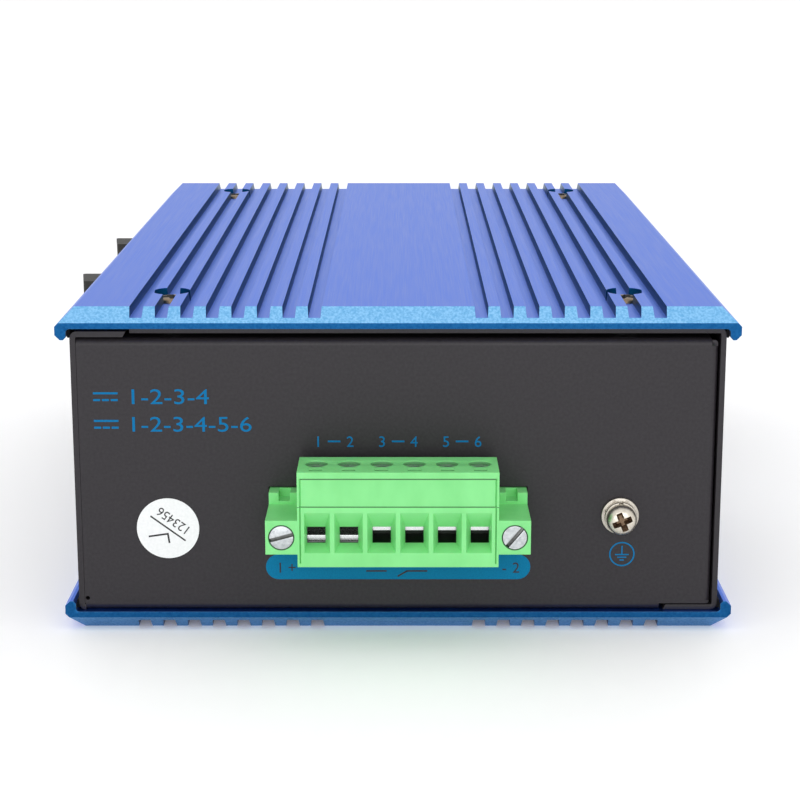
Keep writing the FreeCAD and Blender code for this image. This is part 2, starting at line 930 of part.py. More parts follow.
def led_light_pipe():
    """Clear moulding: a bar on two feet, with one pipe through the wall for each light."""
    bar_x = -body_x + sheet + pipe_bar_set_back
    half = ((pipe_columns - 1) * pipe_pitch + pipe_width) / 2 + pipe_bar_margin
    low = main_board_top + pipe_foot
    last_row = main_board_top + pipe_first_row + (pipe_rows - 1) * pipe_row_pitch
    high = last_row + pipe_height / 2 + pipe_bar_cover
    bar = box(bar_x, bar_x + pipe_bar_depth, pipe_y - half, pipe_y + half, low, high)
    feet = [
        box(
            bar_x, bar_x + pipe_bar_depth, pipe_y + side * half - pipe_foot / 2 * (1 + side),
            pipe_y + side * half + pipe_foot / 2 * (1 - side), main_board_top, low,
        )
        for side in (-1, 1)
    ]
    start = -body_x - jack_proud
    pipes = [
        box(
            start, bar_x, y - pipe_width / 2, y + pipe_width / 2,
            z - pipe_height / 2, z + pipe_height / 2,
        )
        for y, z in pipe_places()
    ]
    return joined([bar] + feet + pipes)


def indicator_leds():
    """Small lights on the board under the light pipe's bar."""
    bar_x = -body_x + sheet + pipe_bar_set_back + pipe_bar_depth / 2
    half = led_width / 2
    return group([
        box(bar_x - half, bar_x + half, y - half, y + half, main_board_top, main_board_top + led_height)
        for y in sorted({y for y, _ in pipe_places()})
    ])


def pole_places():
    """Places of the terminal's poles across the panel."""
    return [(k - (pole_count - 1) / 2) * pole_pitch for k in range(pole_count)]


def wire_funnel(x, first, last):
    """Tool for one wire entry: a square funnel, straighter beside a cheek, and the hole behind it."""
    z = plug_z + funnel_centre
    left = funnel_width / 2 - (funnel_end_inset if first else 0)
    right = funnel_width / 2 - (funnel_end_inset if last else 0)
    half_hole = wire_hole_width / 2
    throat = plug_front + funnel_depth
    funnel = Part.makeWedge(
        x - left, plug_front, z - funnel_height / 2, wire_low, x - half_hole,
        x + right, throat, z + funnel_height / 2, wire_high, x + half_hole,
    )
    back = clamp_y + clamp_shaft_depth / 2
    hole = box(x - half_hole, x + half_hole, throat, back, wire_low, wire_high)
    return [funnel, hole]


def pole_tools(x, first, last):
    """Tools for one pole of the plug: wire entry, clamp shaft, screw hole, driver slot and pin hole."""
    top = plug_z + plug_height
    half = clamp_shaft_width / 2
    depth = clamp_shaft_depth / 2
    shaft = box(x - half, x + half, clamp_y - depth, clamp_y + depth, wire_low, clamp_shaft_top)
    screw_hole = rod(clamp_hole, (x, clamp_y, clamp_shaft_top), (0, 0, 1), top - clamp_shaft_top)
    slot_y = plug_front + driver_slot_from_front
    slot = box(
        x - driver_slot_width / 2, x + driver_slot_width / 2,
        slot_y - driver_slot_length / 2, slot_y + driver_slot_length / 2,
        top - driver_slot_depth, top,
    )
    pin_half = header_pin / 2 + insert_clearance
    pin_hole = box(
        x - pin_half, x + pin_half, header_front + header_pin_front - insert_clearance,
        header_front + tongue_length, pin_z - pin_half, pin_z + pin_half,
    )
    return wire_funnel(x, first, last) + [shaft, screw_hole, slot, pin_hole]


def terminal_plug_housing():
    """Green plug: six poles between two cheeks, a screw flange on each side and a tongue behind."""
    top = plug_z + plug_height
    low = plug_z + flange_bottom
    body = box(-plug_half, plug_half, plug_front, header_front, plug_z, top)
    flanges = box(-flange_half, flange_half, plug_front, header_front, low, low + flange_height)
    side = plug_half - tongue_side_inset
    tongue_z = plug_z + tongue_bottom
    tongue = box(
        -side, side, header_front, header_front + tongue_length,
        tongue_z, tongue_z + tongue_height,
    )
    inset = plug_half - plug_recess_margin
    tools = [box(
        -inset, inset, plug_front, plug_front + plug_front_recess,
        plug_z + plug_recess_bottom, plug_z + plug_recess_top,
    )]
    for side in (-1, 1):
        slot_x = side * (plug_half - plug_recess_margin + cheek_slot / 2)
        tools.append(box(
            slot_x - cheek_slot / 2, slot_x + cheek_slot / 2, plug_front, plug_front + cheek_slot_depth,
            plug_z + cheek_slot_margin, plug_z + plug_recess_top,
        ))
        centre = (side * flange_screw_x, plug_front, flange_screw_z)
        tools.append(rod(flange_screw_head + hole_clearance, centre, (0, 1, 0), flange_screw_head_height))
        tools.append(hidden_rod(flange_screw_thread + hole_clearance, centre, (0, 1, 0), plug_depth))
    places = pole_places()
    for k, x in enumerate(places):
        tools += pole_tools(x, k == 0, k == len(places) - 1)
    return cut(joined([body, flanges, tongue]), tools)


def terminal_clamp_plates():
    """Steel cages that lift the wires, one in each pole's shaft: low where open, raised where closed."""
    half = clamp_shaft_width / 2 - clamp_side_gap
    depth = clamp_shaft_depth / 2 - clamp_side_gap
    cages = []
    for pole, x in enumerate(pole_places()):
        z = wire_low if pole < open_poles else clamp_raised
        floor = z + clamp_plate_height
        inside = half - clamp_wall
        cage = box(x - half, x + half, clamp_y - depth, clamp_y + depth, z, z + clamp_height)
        window = box(
            x - inside, x + inside, clamp_y - depth, clamp_y + depth,
            floor, floor + clamp_window,
        )
        bore = hidden_rod(
            clamp_screw_thread + thread_clearance, (x, clamp_y, floor), (0, 0, 1), clamp_height,
        )
        cages.append(cut(cage, [window, bore]))
    return group(cages)


def terminal_clamp_screws():
    """Slotted screws that lift the cages, sunk in the plug's round holes."""
    top = plug_z + plug_height - clamp_screw_sink
    seat = top - clamp_screw_head_height
    tip = wire_high + clamp_screw_tip_gap
    screws = []
    for x in pole_places():
        head = rod(clamp_screw_head, (x, clamp_y, seat), (0, 0, 1), clamp_screw_head_height)
        shank = hidden_rod(clamp_screw_thread, (x, clamp_y, tip), (0, 0, 1), seat - tip)
        slot = box(
            x - clamp_screw_head, x + clamp_screw_head, clamp_y - clamp_slot_width / 2,
            clamp_y + clamp_slot_width / 2, top - clamp_slot_depth, top,
        )
        screws.append(cut(joined([head, shank]), [slot]))
    return group(screws)


def terminal_flange_screws():
    """Slotted screws through the plug's flanges, into the nuts of the socket's ears."""
    screws = []
    for side, turn in zip((-1, 1), flange_slot_turns):
        x = side * flange_screw_x
        head = rod(flange_screw_head, (x, plug_front, flange_screw_z), (0, 1, 0), flange_screw_head_height)
        shank = hidden_rod(
            flange_screw_thread, (x, plug_front, flange_screw_z), (0, 1, 0),
            plug_depth + flange_nut_length,
        )
        slot = box(
            -flange_screw_head, flange_screw_head, plug_front, plug_front + flange_slot_depth,
            -flange_slot_width / 2, flange_slot_width / 2,
        )
        slot.rotate(Vec(0, 0, 0), Vec(0, 1, 0), -turn)
        screws.append(cut(joined([head, shank]), [moved(slot, x, 0, flange_screw_z)]))
    return group(screws)


def terminal_header():
    """Green socket on the power board: a pocket for the plug's tongue and an ear on each side."""
    low = power_board_top
    high = low + header_height
    back = header_front + header_depth
    body = box(-flange_half, flange_half, header_front, back, low, high)
    gap = header_pocket_clearance
    side = plug_half - tongue_side_inset + gap
    tongue_z = plug_z + tongue_bottom
    tools = [box(
        -side, side, header_front, header_front + tongue_length + header_pocket_spare,
        tongue_z - gap, tongue_z + tongue_height + gap,
    )]
    for x in pole_places():
        half = header_pin / 2
        tools.append(box(x - half, x + half, header_front, back, pin_z - half, pin_z + half))
    for side in (-1, 1):
        x = side * flange_screw_x
        tools.append(box(
            x - header_notch_width / 2, x + header_notch_width / 2, header_front, -panel_y,
            high - header_notch_depth, high,
        ))
        tools.append(hidden_rod(
            flange_nut_diameter, (x, header_front, flange_screw_z), (0, 1, 0),
            flange_nut_length,
        ))
    return cut(body, tools)


def header_pins():
    """Bent square pins: forward into the plug, back and down through the power board."""
    front = header_front + header_pin_front
    back = header_front + header_depth + header_pin_back
    half = header_pin / 2
    tail = power_board_z - solder_tail
    pins = []
    for x in pole_places():
        arm = box(x - half, x + half, front, back, pin_z - half, pin_z + half)
        leg = box(x - half, x + half, back - header_pin, back, tail, pin_z + half)
        pins.append(joined([arm, leg]))
    return group(pins)


def header_flange_nuts():
    """Brass sleeves in the socket's ears, tapped for the flange screws."""
    nuts = []
    for side in (-1, 1):
        centre = (side * flange_screw_x, header_front, flange_screw_z)
        sleeve = hidden_rod(flange_nut_diameter, centre, (0, 1, 0), flange_nut_length)
        bore = hidden_rod(flange_screw_thread + thread_clearance, centre, (0, 1, 0), flange_nut_length)
        nuts.append(cut(sleeve, [bore]))
    return group(nuts)


def earth_flat_washer():
    """Flat washer on the power panel."""
    start = (earth_x, -panel_y, earth_z)
    ring = rod(earth_flat_diameter, start, (0, -1, 0), earth_flat_thickness)
    bore = hidden_rod(earth_thread + hole_clearance, start, (0, -1, 0), earth_flat_thickness)
    return cut(ring, [bore])


def earth_spring_washer():
    """Split washer between the flat washer and the screw's head."""
    y = -panel_y - earth_flat_thickness
    start = (earth_x, y, earth_z)
    ring = rod(earth_spring_diameter, start, (0, -1, 0), earth_spring_thickness)
    bore = hidden_rod(earth_thread + hole_clearance, start, (0, -1, 0), earth_spring_thickness)
    split = box(
        earth_x - earth_spring_split / 2, earth_x + earth_spring_split / 2,
        y - earth_spring_thickness, y, earth_z, earth_z + earth_spring_diameter,
    )
    return cut(ring, [bore, split])


def earth_screw():
    """Pan-head screw with a sloping shoulder."""
    y = -panel_y - earth_flat_thickness - earth_spring_thickness
    radius = earth_head / 2
    rim = earth_head_height - earth_head_shoulder
    rim_start = (earth_x, y, earth_z)
    crown_start = Vec(earth_x, y - rim, earth_z)
    crown = Part.makeCone(
        radius, radius - earth_head_shoulder, earth_head_shoulder,
        crown_start, Vec(0, -1, 0),
    )
    head = rod(earth_head, rim_start, (0, -1, 0), rim)
    shank = hidden_rod(earth_thread, rim_start, (0, 1, 0), earth_screw_shank)
    return joined([head, crown, shank])


def earth_press_nut():
    """Nut pressed in the power panel from inside."""
    return press_nut((earth_x, -panel_y + sheet, earth_z), (0, 1, 0), earth_nut_length, sheet, earth_thread)


def inspection_sticker():
    """Round paper sticker on the power panel."""
    centre = (-body_x + sticker_from_port_wall, -panel_y, floor_z + sticker_height)
    return rod(sticker_diameter, centre, (0, -1, 0), sticker_thickness)


def clip_screw_places():
    """Places of the rail clip's screws along the rear wall."""
    return [-clip_screw_spacing / 2, clip_screw_spacing / 2]


def clip_edges():
    """Ends of the rail slot along Y: the sprung side and the fixed side."""
    half = rail_width / 2 + rail_clearance
    return -half - clip_spring_room, half


def din_clip():
    """Extruded clip: a base on the rear wall, and two hooks that reach over the rail's edges."""
    x0 = body_x
    x1 = x0 + clip_base
    x2 = x1 + rail_slot
    x3 = x2 + clip_lip
    near, far = clip_edges()
    hook_near = near + clip_spring_room + clip_hook_overlap
    hook_far = far - clip_hook_overlap
    corners = [
        (x0, near - clip_wall, 0),
        (x3, near - clip_wall, clip_wall / 2),
        (x3, hook_near, clip_lip / 3),
        (x2, hook_near, 0),
        (x2, near, 0),
        (x1, near, 0),
        (x1, far, 0),
        (x2, far, 0),
        (x2, hook_far, 0),
        (x3, hook_far + clip_lip / 2, 0),
        (x3, far + clip_wall, clip_wall / 2),
        (x0, far + clip_wall, 0),
    ]
    clip = extruded(corners, xy, (0, 0, clip_z - clip_length / 2), (0, 0, clip_length))
    tools = []
    for y in clip_screw_places():
        sink = (clip_screw_head - clip_screw_thread) / 2
        tools.append(hidden_rod(clip_screw_thread + hole_clearance, (x0, y, clip_z), (1, 0, 0), clip_base))
        tools.append(Part.makeCone(
            clip_screw_thread / 2, clip_screw_head / 2, sink,
            Vec(x1 - sink, y, clip_z), Vec(1, 0, 0),
        ))
    return cut(clip, tools)


def din_clip_spring():
    """Bowed leaf spring in the slot's near end, which pushes the clip on the rail."""
    x1 = body_x + clip_base
    near, _ = clip_edges()
    half = clip_length / 2 - clip_spring
    bow = clip_spring_room - 2 * clip_spring
    outer = Part.Arc(Vec(0, near, -half), Vec(0, near + bow, 0), Vec(0, near, half)).toShape()
    inner = Part.Arc(
        Vec(0, near + clip_spring, -half),
        Vec(0, near + bow + clip_spring, 0),
        Vec(0, near + clip_spring, half),
    ).toShape()
    ends = [
        Part.makeLine(Vec(0, near, z), Vec(0, near + clip_spring, z))
        for z in (-half, half)
    ]
    leaf = Part.Face(Part.Wire(Part.__sortEdges__([outer, ends[0], inner, ends[1]])))
    spring = leaf.extrude(Vec(rail_slot - 2 * insert_clearance, 0, 0))
    return moved(spring, x1 + insert_clearance, 0, clip_z)


def din_clip_screws():
    """Countersunk screws through the clip's base."""
    x1 = body_x + clip_base
    sink = (clip_screw_head - clip_screw_thread) / 2
    screws = []
    for y in clip_screw_places():
        head = Part.makeCone(
            clip_screw_thread / 2, clip_screw_head / 2, sink,
            Vec(x1 - sink, y, clip_z), Vec(1, 0, 0),
        )
        shank = hidden_rod(clip_screw_thread, (x1 - sink, y, clip_z), (-1, 0, 0), clip_screw_shank)
        screws.append(joined([head, shank]))
    return group(screws)


def din_press_nuts():
    """Nuts pressed in the rear wall from inside."""
    return group([
        press_nut((body_x - sheet, y, clip_z), (-1, 0, 0), press_nut_height, sheet, clip_screw_thread)
        for y in clip_screw_places()
    ])


def block_on(z, x, y, length, width, height):
    """Plain block centred on a place of a board."""
    return box(x - length / 2, x + length / 2, y - width / 2, y + width / 2, z, z + height)


def switch_chip():
    """Square chip on the main board."""
    return block_on(main_board_top, chip_x, chip_y, chip_size, chip_size, chip_height)


def chip_thermal_pad():
    """Soft pad between the chip and the heat block."""
    return block_on(main_board_top + chip_height, chip_x, chip_y, chip_size, chip_size, pad_thickness)


def heat_block():
    """Metal block that leads the chip's heat to the case's upper face."""
    low = main_board_top + chip_height + pad_thickness
    return block_on(low, chip_x, chip_y, heat_block_size, heat_block_size, roof_z - sheet - low)


def lan_transformers():
    """Line transformers behind the network sockets."""
    x = jack_front() + 2 * jack_shield + jack_depth + transformer_gap + transformer_length / 2
    return group([
        block_on(main_board_top, x, y, transformer_length, transformer_width, transformer_height)
        for y in jack_places()
    ])


def link_places():
    """Places of the pins that join the two boards."""
    return [
        (
            link_x + (row - (link_rows - 1) / 2) * link_pitch,
            link_y + (column - (link_columns - 1) / 2) * link_pitch,
        )
        for row in range(link_rows)
        for column in range(link_columns)
    ]


def board_link_socket():
    """Socket strip on the power board."""
    length = link_rows * link_pitch
    width = link_columns * link_pitch
    body = block_on(power_board_top, link_x, link_y, length, width, link_socket_height)
    top = power_board_top + link_socket_height
    half = link_pin / 2 + thread_clearance
    holes = [
        box(x - half, x + half, y - half, y + half, top - link_pin_depth, top)
        for x, y in link_places()
    ]
    return cut(body, holes)


def board_link_pins():
    """Pin strip under the main board, with its pins down in the socket."""
    length = link_rows * link_pitch
    width = link_columns * link_pitch
    low = main_board_z - link_strip_height
    strip = block_on(low, link_x, link_y, length, width, link_strip_height)
    tip = power_board_top + link_socket_height - link_pin_depth
    half = link_pin / 2
    pins = [box(x - half, x + half, y - half, y + half, tip, low) for x, y in link_places()]
    return joined([strip] + pins)


def bulk_capacitors():
    """Round capacitors on the power board."""
    x = -board_x + capacitor_from_port_edge
    y = -board_y + capacitor_from_near_edge
    return group([
        hidden_rod(
            capacitor_diameter, (x, y + k * capacitor_pitch, power_board_top),
            (0, 0, 1), capacitor_height,
        )
        for k in range(capacitor_count)
    ])


def power_inductors():
    """Square inductors with a round core on top."""
    inductors = []
    for k in range(inductor_count):
        y = inductor_y + k * inductor_pitch
        base = block_on(
            power_board_top, inductor_x, y, inductor_size, inductor_size,
            inductor_height / 2,
        )
        core = hidden_rod(inductor_core, (inductor_x, y, power_board_top), (0, 0, 1), inductor_height)
        inductors.append(joined([base, core]))
    return group(inductors)


def power_transformer():
    """Converter transformer: a wound block between two core plates."""
    x, y = power_transformer_x, power_transformer_y
    winding = block_on(
        power_board_top, x, y,
        power_transformer_length - 2 * power_transformer_flange,
        power_transformer_width - 2 * power_transformer_flange, power_transformer_height,
    )
    plates = [
        block_on(
            z, x, y, power_transformer_length, power_transformer_width,
            power_transformer_flange,
        )
        for z in (power_board_top, power_board_top + power_transformer_height - power_transformer_flange)
    ]
    return joined([winding] + plates)


def power_chips():
    """Power supply chips on the power board."""
    x = -board_x + power_chip_from_port_edge
    y = power_transformer_y + power_transformer_width / 2 + power_chip_gap + power_chip_size / 2
    return group([
        block_on(
            power_board_top, x + k * power_chip_pitch, y,
            power_chip_size, power_chip_size, power_chip_height,
        )
        for k in range(power_chip_count)
    ])


def all_parts():
    """Every piece of the switch, by name."""
    plate = heat_sink_plate()
    parts = {
        "top_heat_sink_plate": on_roof(plate),
        "bottom_heat_sink_plate": on_floor(plate),
        "plate_screws": plate_screws(),
        "press_nuts": press_nuts(),
        "chassis_tray": chassis_tray(),
        "rear_cover": rear_cover(),
        "power_board": power_board(),
        "main_board": main_board(),
        "board_standoffs": board_standoffs(),
        "board_spacers": board_spacers(),
        "board_screws": board_screws(),
        "led_light_pipe": led_light_pipe(),
        "indicator_leds": indicator_leds(),
        "terminal_plug_housing": terminal_plug_housing(),
        "terminal_clamp_plates": terminal_clamp_plates(),
        "terminal_clamp_screws": terminal_clamp_screws(),
        "terminal_flange_screws": terminal_flange_screws(),
        "terminal_header": terminal_header(),
        "header_pins": header_pins(),
        "header_flange_nuts": header_flange_nuts(),
        "earth_flat_washer": earth_flat_washer(),
        "earth_spring_washer": earth_spring_washer(),
        "earth_screw": earth_screw(),
        "earth_press_nut": earth_press_nut(),
        "inspection_sticker": inspection_sticker(),
        "din_clip": din_clip(),
        "din_clip_spring": din_clip_spring(),
        "din_clip_screws": din_clip_screws(),
        "din_press_nuts": din_press_nuts(),
        "switch_chip": switch_chip(),
        "chip_thermal_pad": chip_thermal_pad(),
        "heat_block": heat_block(),
        "lan_transformers": lan_transformers(),
        "board_link_socket": board_link_socket(),
        "board_link_pins": board_link_pins(),
        "bulk_capacitors": bulk_capacitors(),
        "power_inductors": power_inductors(),
        "power_transformer": power_transformer(),
        "power_chips": power_chips(),
    }
    for number, y in enumerate(jack_places(), 1):
        parts[f"rj45_jack_{number}"] = rj45_jack(y)
        parts[f"rj45_shield_{number}"] = rj45_shield(y)
        parts[f"rj45_contacts_{number}"] = rj45_contacts(y)
    for number, y in enumerate(cage_places(), 1):
        parts[f"sfp_cage_{number}"] = sfp_cage(y)
        parts[f"sfp_connector_{number}"] = sfp_connector(y)
        parts[f"sfp_dust_plug_{number}"] = sfp_dust_plug(y)
    return parts


os.makedirs("parts", exist_ok=True)
for name, shape in all_parts().items():
    shape.exportStep(f"parts/{name}.step")
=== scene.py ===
import math

import bmesh
import bpy
from mathutils import Matrix, Vector


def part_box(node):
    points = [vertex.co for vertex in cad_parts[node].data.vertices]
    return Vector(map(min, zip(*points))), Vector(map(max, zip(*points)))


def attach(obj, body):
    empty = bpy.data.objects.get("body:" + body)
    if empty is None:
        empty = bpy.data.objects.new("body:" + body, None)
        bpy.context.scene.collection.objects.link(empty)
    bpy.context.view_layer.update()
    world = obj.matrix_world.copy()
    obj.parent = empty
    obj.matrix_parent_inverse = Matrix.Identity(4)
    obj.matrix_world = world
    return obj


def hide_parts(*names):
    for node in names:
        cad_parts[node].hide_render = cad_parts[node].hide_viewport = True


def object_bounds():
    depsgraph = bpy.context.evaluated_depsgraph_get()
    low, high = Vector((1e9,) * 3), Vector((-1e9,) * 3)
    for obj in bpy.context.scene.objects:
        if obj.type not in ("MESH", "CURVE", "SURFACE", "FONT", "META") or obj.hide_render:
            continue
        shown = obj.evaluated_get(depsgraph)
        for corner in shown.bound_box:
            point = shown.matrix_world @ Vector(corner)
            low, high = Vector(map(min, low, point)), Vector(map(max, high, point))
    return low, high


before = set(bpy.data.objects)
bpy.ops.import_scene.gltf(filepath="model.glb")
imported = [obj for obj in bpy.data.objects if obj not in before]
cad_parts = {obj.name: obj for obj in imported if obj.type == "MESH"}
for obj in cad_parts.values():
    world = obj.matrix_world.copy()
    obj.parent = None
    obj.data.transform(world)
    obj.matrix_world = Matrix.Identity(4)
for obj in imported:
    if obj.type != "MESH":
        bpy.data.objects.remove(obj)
cad_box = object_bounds()


# Chassis tray and rear cover
# Two sheets of 0.9 mm steel, cut and folded: the tray is the floor, the port wall and both end panels, and
# the cover is the roof and the rear wall. Both are powder coated black after folding, which leaves a satin
# skin with a very fine orange peel.

mm = 0.001


def swatch(red, green, blue):
    """Colour as matched on a swatch, 0 to 255 each, as the share of light that it throws back."""
    shares = [level / 255 for level in (red, green, blue)]
    return (*[s / 12.92 if s <= 0.04045 else ((s + 0.055) / 1.055) ** 2.4 for s in shares], 1.0)


class Finish:
    """A surface finish: its shader, and short calls that add what varies over the surface."""

    def __init__(self, name, **sockets):
        self.material = bpy.data.materials.new(name)
        self.material.use_nodes = True
        self.nodes = self.material.node_tree.nodes
        self.links = self.material.node_tree.links
        self.shader = self.nodes["Principled BSDF"]
        self.place = self.nodes.new("ShaderNodeTexCoord").outputs["Object"]
        self.relief = None
        for socket, value in sockets.items():
            self.shader.inputs[socket.replace("_", " ")].default_value = value

    def feed(self, socket, value):
        """Links a socket to another node's output, or sets it to a value."""
        if isinstance(value, bpy.types.NodeSocket):
            self.links.new(value, socket)
        else:
            socket.default_value = value

    def add(self, kind, **inputs):
        """New node, with its inputs either linked or set."""
        node = self.nodes.new("ShaderNode" + kind)
        for name, value in inputs.items():
            self.feed(node.inputs[name.replace("_", " ")], value)
        return node

    def axes(self, vector):
        """The X, Y and Z of a vector."""
        return self.add("SeparateXYZ", Vector=vector).outputs

    def grain(self, size, stretch=(1, 1, 1), detail=2.0):
        """Random grain of a size in metres, drawn out along an axis by its stretch; from 0 to 1."""
        scale = [1 / (size * s) for s in stretch]
        spread = self.add("Mapping", Vector=self.place, Scale=scale)
        return self.add("TexNoise", Vector=spread.outputs[0], Scale=1.0, Detail=detail).outputs[0]

    def level(self, share, low, high, start=0.3, stop=0.7):
        """Number that goes from low to high as a share goes from start to stop."""
        node = self.add("MapRange", Value=share, From_Min=start, From_Max=stop, To_Min=low, To_Max=high)
        return node.outputs[0]

    def blend(self, share, low, high, start=0.3, stop=0.7):
        """Colour that goes from low to high as a share goes from start to stop."""
        node = self.add("ValToRGB", Fac=share)
        for element, position, shade in zip(node.color_ramp.elements, (start, stop), (low, high)):
            element.position = position
            element.color = shade
        return node.outputs[0]

    def mix(self, share, low, high):
        """Colour between two sockets or swatches, by a share."""
        node = self.nodes.new("ShaderNodeMix")
        node.data_type = "RGBA"
        # The node has sockets for every type of data: inputs 6 and 7 take colours, and output 2 gives one.
        for number, value in ((0, share), (6, low), (7, high)):
            self.feed(node.inputs[number], value)
        return node.outputs[2]

    def work(self, operation, *values):
        """Number worked out from one or two others."""
        node = self.nodes.new("ShaderNodeMath")
        node.operation = operation
        for socket, value in zip(node.inputs, values):
            self.feed(socket, value)
        return node.outputs[0]

    def drive(self, socket, source):
        """Feeds a shader socket from a node."""
        self.feed(self.shader.inputs[socket], source)

    def bump(self, share, depth):
        """Adds relief of a depth in metres."""
        node = self.add("Bump", Height=share, Distance=depth, Strength=1.0)
        if self.relief:
            self.feed(node.inputs["Normal"], self.relief)
        self.relief = node.outputs[0]
        self.drive("Normal", self.relief)


def dress(finish, *names):
    """Gives CAD pieces a finish."""
    for name in names:
        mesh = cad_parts[name].data
        mesh.materials.clear()
        mesh.materials.append(finish.material)


def ease_edges(width, *names, segments=2, angle=30):
    """Breaks the sharp edges of CAD pieces, as coating, deburring or moulding leaves them."""
    seam_gap = 0.0005 * mm
    for name in names:
        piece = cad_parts[name]
        piece.modifiers.new("joined_seams", "WELD").merge_threshold = seam_gap
        edges = piece.modifiers.new("eased_edges", "BEVEL")
        edges.width = width
        edges.segments = segments
        edges.limit_method = "ANGLE"
        edges.angle_limit = math.radians(angle)
        edges.loop_slide = False
        piece.data.shade_smooth()
        shading = piece.modifiers.new("flat_shading", "WEIGHTED_NORMAL")
        shading.keep_sharp = True
        shading.weight = 100


powder_coat = Finish("black_powder_coat", Specular_IOR_Level=0.3)
orange_peel = powder_coat.grain(0.5 * mm, detail=3.0)
coat_cloud = powder_coat.grain(22 * mm)
powder_coat.drive("Base Color", powder_coat.blend(orange_peel, swatch(38, 35, 39), swatch(46, 43, 47)))
powder_coat.drive("Roughness", powder_coat.level(coat_cloud, 0.36, 0.46))
powder_coat.bump(orange_peel, 0.004 * mm)
dress(powder_coat, "chassis_tray", "rear_cover")
ease_edges(0.12 * mm, "chassis_tray", "rear_cover")
tray_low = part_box("chassis_tray")[0]

# Panel print
# Blue ink, silk-screened on the coated panel before assembly: two lines with a direct-current sign and
# plain numbers, one number over each pole, a band under the plug with signs, and the earth sign.

ink_depth = 0.02 * mm


def grained_finish(name, low, high, rough, grain, relief, stretch=(1, 1, 1), detail=2.0, fine_grain=None,
                   **sockets):
    """Finish with one grain, between two colours and over a range of roughness.

    The same grain gives the relief, unless there is a finer one for that.
    """
    finish = Finish(name, **sockets)
    cloud = finish.grain(grain, stretch, detail)
    finish.drive("Base Color", finish.blend(cloud, low, high))
    finish.drive("Roughness", finish.level(cloud, *rough))
    finish.bump(finish.grain(fine_grain) if fine_grain else cloud, relief)
    return finish


def plain_finish(name, low, high, rough, grain, relief, **sockets):
    """Grained finish whose roughness goes a little to both sides of its mean."""
    return grained_finish(name, low, high, (0.85 * rough, 1.15 * rough), grain, relief, **sockets)


def on_face(origin, across, up):
    """Frame of a printed face: u runs across it, v up it, and w out of it."""
    out = Vector(across).cross(Vector(up))
    columns = Matrix((across, up, out)).transposed().to_4x4()
    return Matrix.Translation(origin) @ columns


def wall_between(mesh, first, second):
    """Closes the strip between two loops with the same number of points."""
    count = len(first)
    for i in range(count):
        j = (i + 1) % count
        mesh.faces.new((first[i], second[i], second[j], first[j]))


def skin_over(mesh, loops):
    """Closes a form through loops of points: a face on the first and the last, and walls between them."""
    mesh.faces.new(loops[0])
    mesh.faces.new(loops[-1][::-1])
    for first, second in zip(loops, loops[1:]):
        wall_between(mesh, first, second)


def flat_sign(mesh, outline, face):
    """Adds a closed outline of (u, v) points to a print, with the ink's thickness."""
    low = [mesh.verts.new(face @ Vector((u, v, -ink_depth))) for u, v in outline]
    high = [mesh.verts.new(face @ Vector((u, v, ink_depth))) for u, v in outline]
    skin_over(mesh, (high, low))


def bar_sign(mesh, u, v, width, height, face):
    """Adds a straight bar round a middle point."""
    w, h = width / 2, height / 2
    flat_sign(mesh, [(u - w, v - h), (u + w, v - h), (u + w, v + h), (u - w, v + h)], face)


def ring_sign(mesh, u, v, diameter, stroke, face, steps=48):
    """Adds a ring, as a closed strip."""
    outer = diameter / 2
    inner = outer - stroke
    corners = ((outer, -ink_depth), (outer, ink_depth), (inner, ink_depth), (inner, -ink_depth))
    loops = []
    for k in range(steps):
        turn = 2 * math.pi * k / steps
        loops.append([
            mesh.verts.new(face @ Vector((u + r * math.cos(turn), v + r * math.sin(turn), w)))
            for r, w in corners
        ])
    for here, after in zip(loops, loops[1:] + loops[:1]):
        wall_between(mesh, here, after)


def numerals(mesh, words, u, v, height, face, align="LEFT", width=None):
    """Adds plain numerals, with their foot at v and their digits as high as given, spread to any width."""
    digit_share = 0.7
    letters = bpy.data.curves.new("numerals", "FONT")
    letters.body = words
    letters.align_x = align
    letters.size = height / digit_share
    letters.extrude = ink_depth
    letters.resolution_u = 4
    carrier = bpy.data.objects.new("numerals", letters)
    bpy.context.scene.collection.objects.link(carrier)
    bpy.context.view_layer.update()
    shapes = bpy.data.meshes.new_from_object(carrier.evaluated_get(bpy.context.evaluated_depsgraph_get()))
    if width:
        edges = [corner.co.x for corner in shapes.vertices]
        shapes.transform(Matrix.Scale(width / (max(edges) - min(edges)), 4, (1, 0, 0)))
    shapes.transform(face @ Matrix.Translation((u, v, 0)))
    mesh.from_mesh(shapes)
    bpy.data.objects.remove(carrier)
    bpy.data.curves.remove(letters)
    bpy.data.meshes.remove(shapes)


def object_from(name, mesh, finish):
    """Makes an object of a mesh, in one finish."""
    data = bpy.data.meshes.new(name)
    mesh.to_mesh(data)
    mesh.free()
    data.materials.append(finish.material)
    made = bpy.data.objects.new(name, data)
    bpy.context.scene.collection.objects.link(made)
    return made


def piece_from(name, mesh, finish):
    """Makes a piece of a mesh: named, finished, and fixed to the body."""
    seam_gap = 0.0002 * mm
    bmesh.ops.remove_doubles(mesh, verts=mesh.verts, dist=seam_gap)
    bmesh.ops.recalc_face_normals(mesh, faces=mesh.faces)
    piece = object_from(name, mesh, finish)
    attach(piece, "root")
    return piece


def direct_current_sign(mesh, u, v, width, face):
    """Adds the sign for direct current: a line over three dashes, with gaps of a quarter of a dash."""
    stroke, rise = 0.34 * mm, 0.55 * mm
    dash = width * 2 / 7
    bar_sign(mesh, u + width / 2, v + rise, width, stroke, face)
    for k in range(3):
        bar_sign(mesh, u + dash / 2 + 1.25 * dash * k, v - rise, dash, stroke, face)


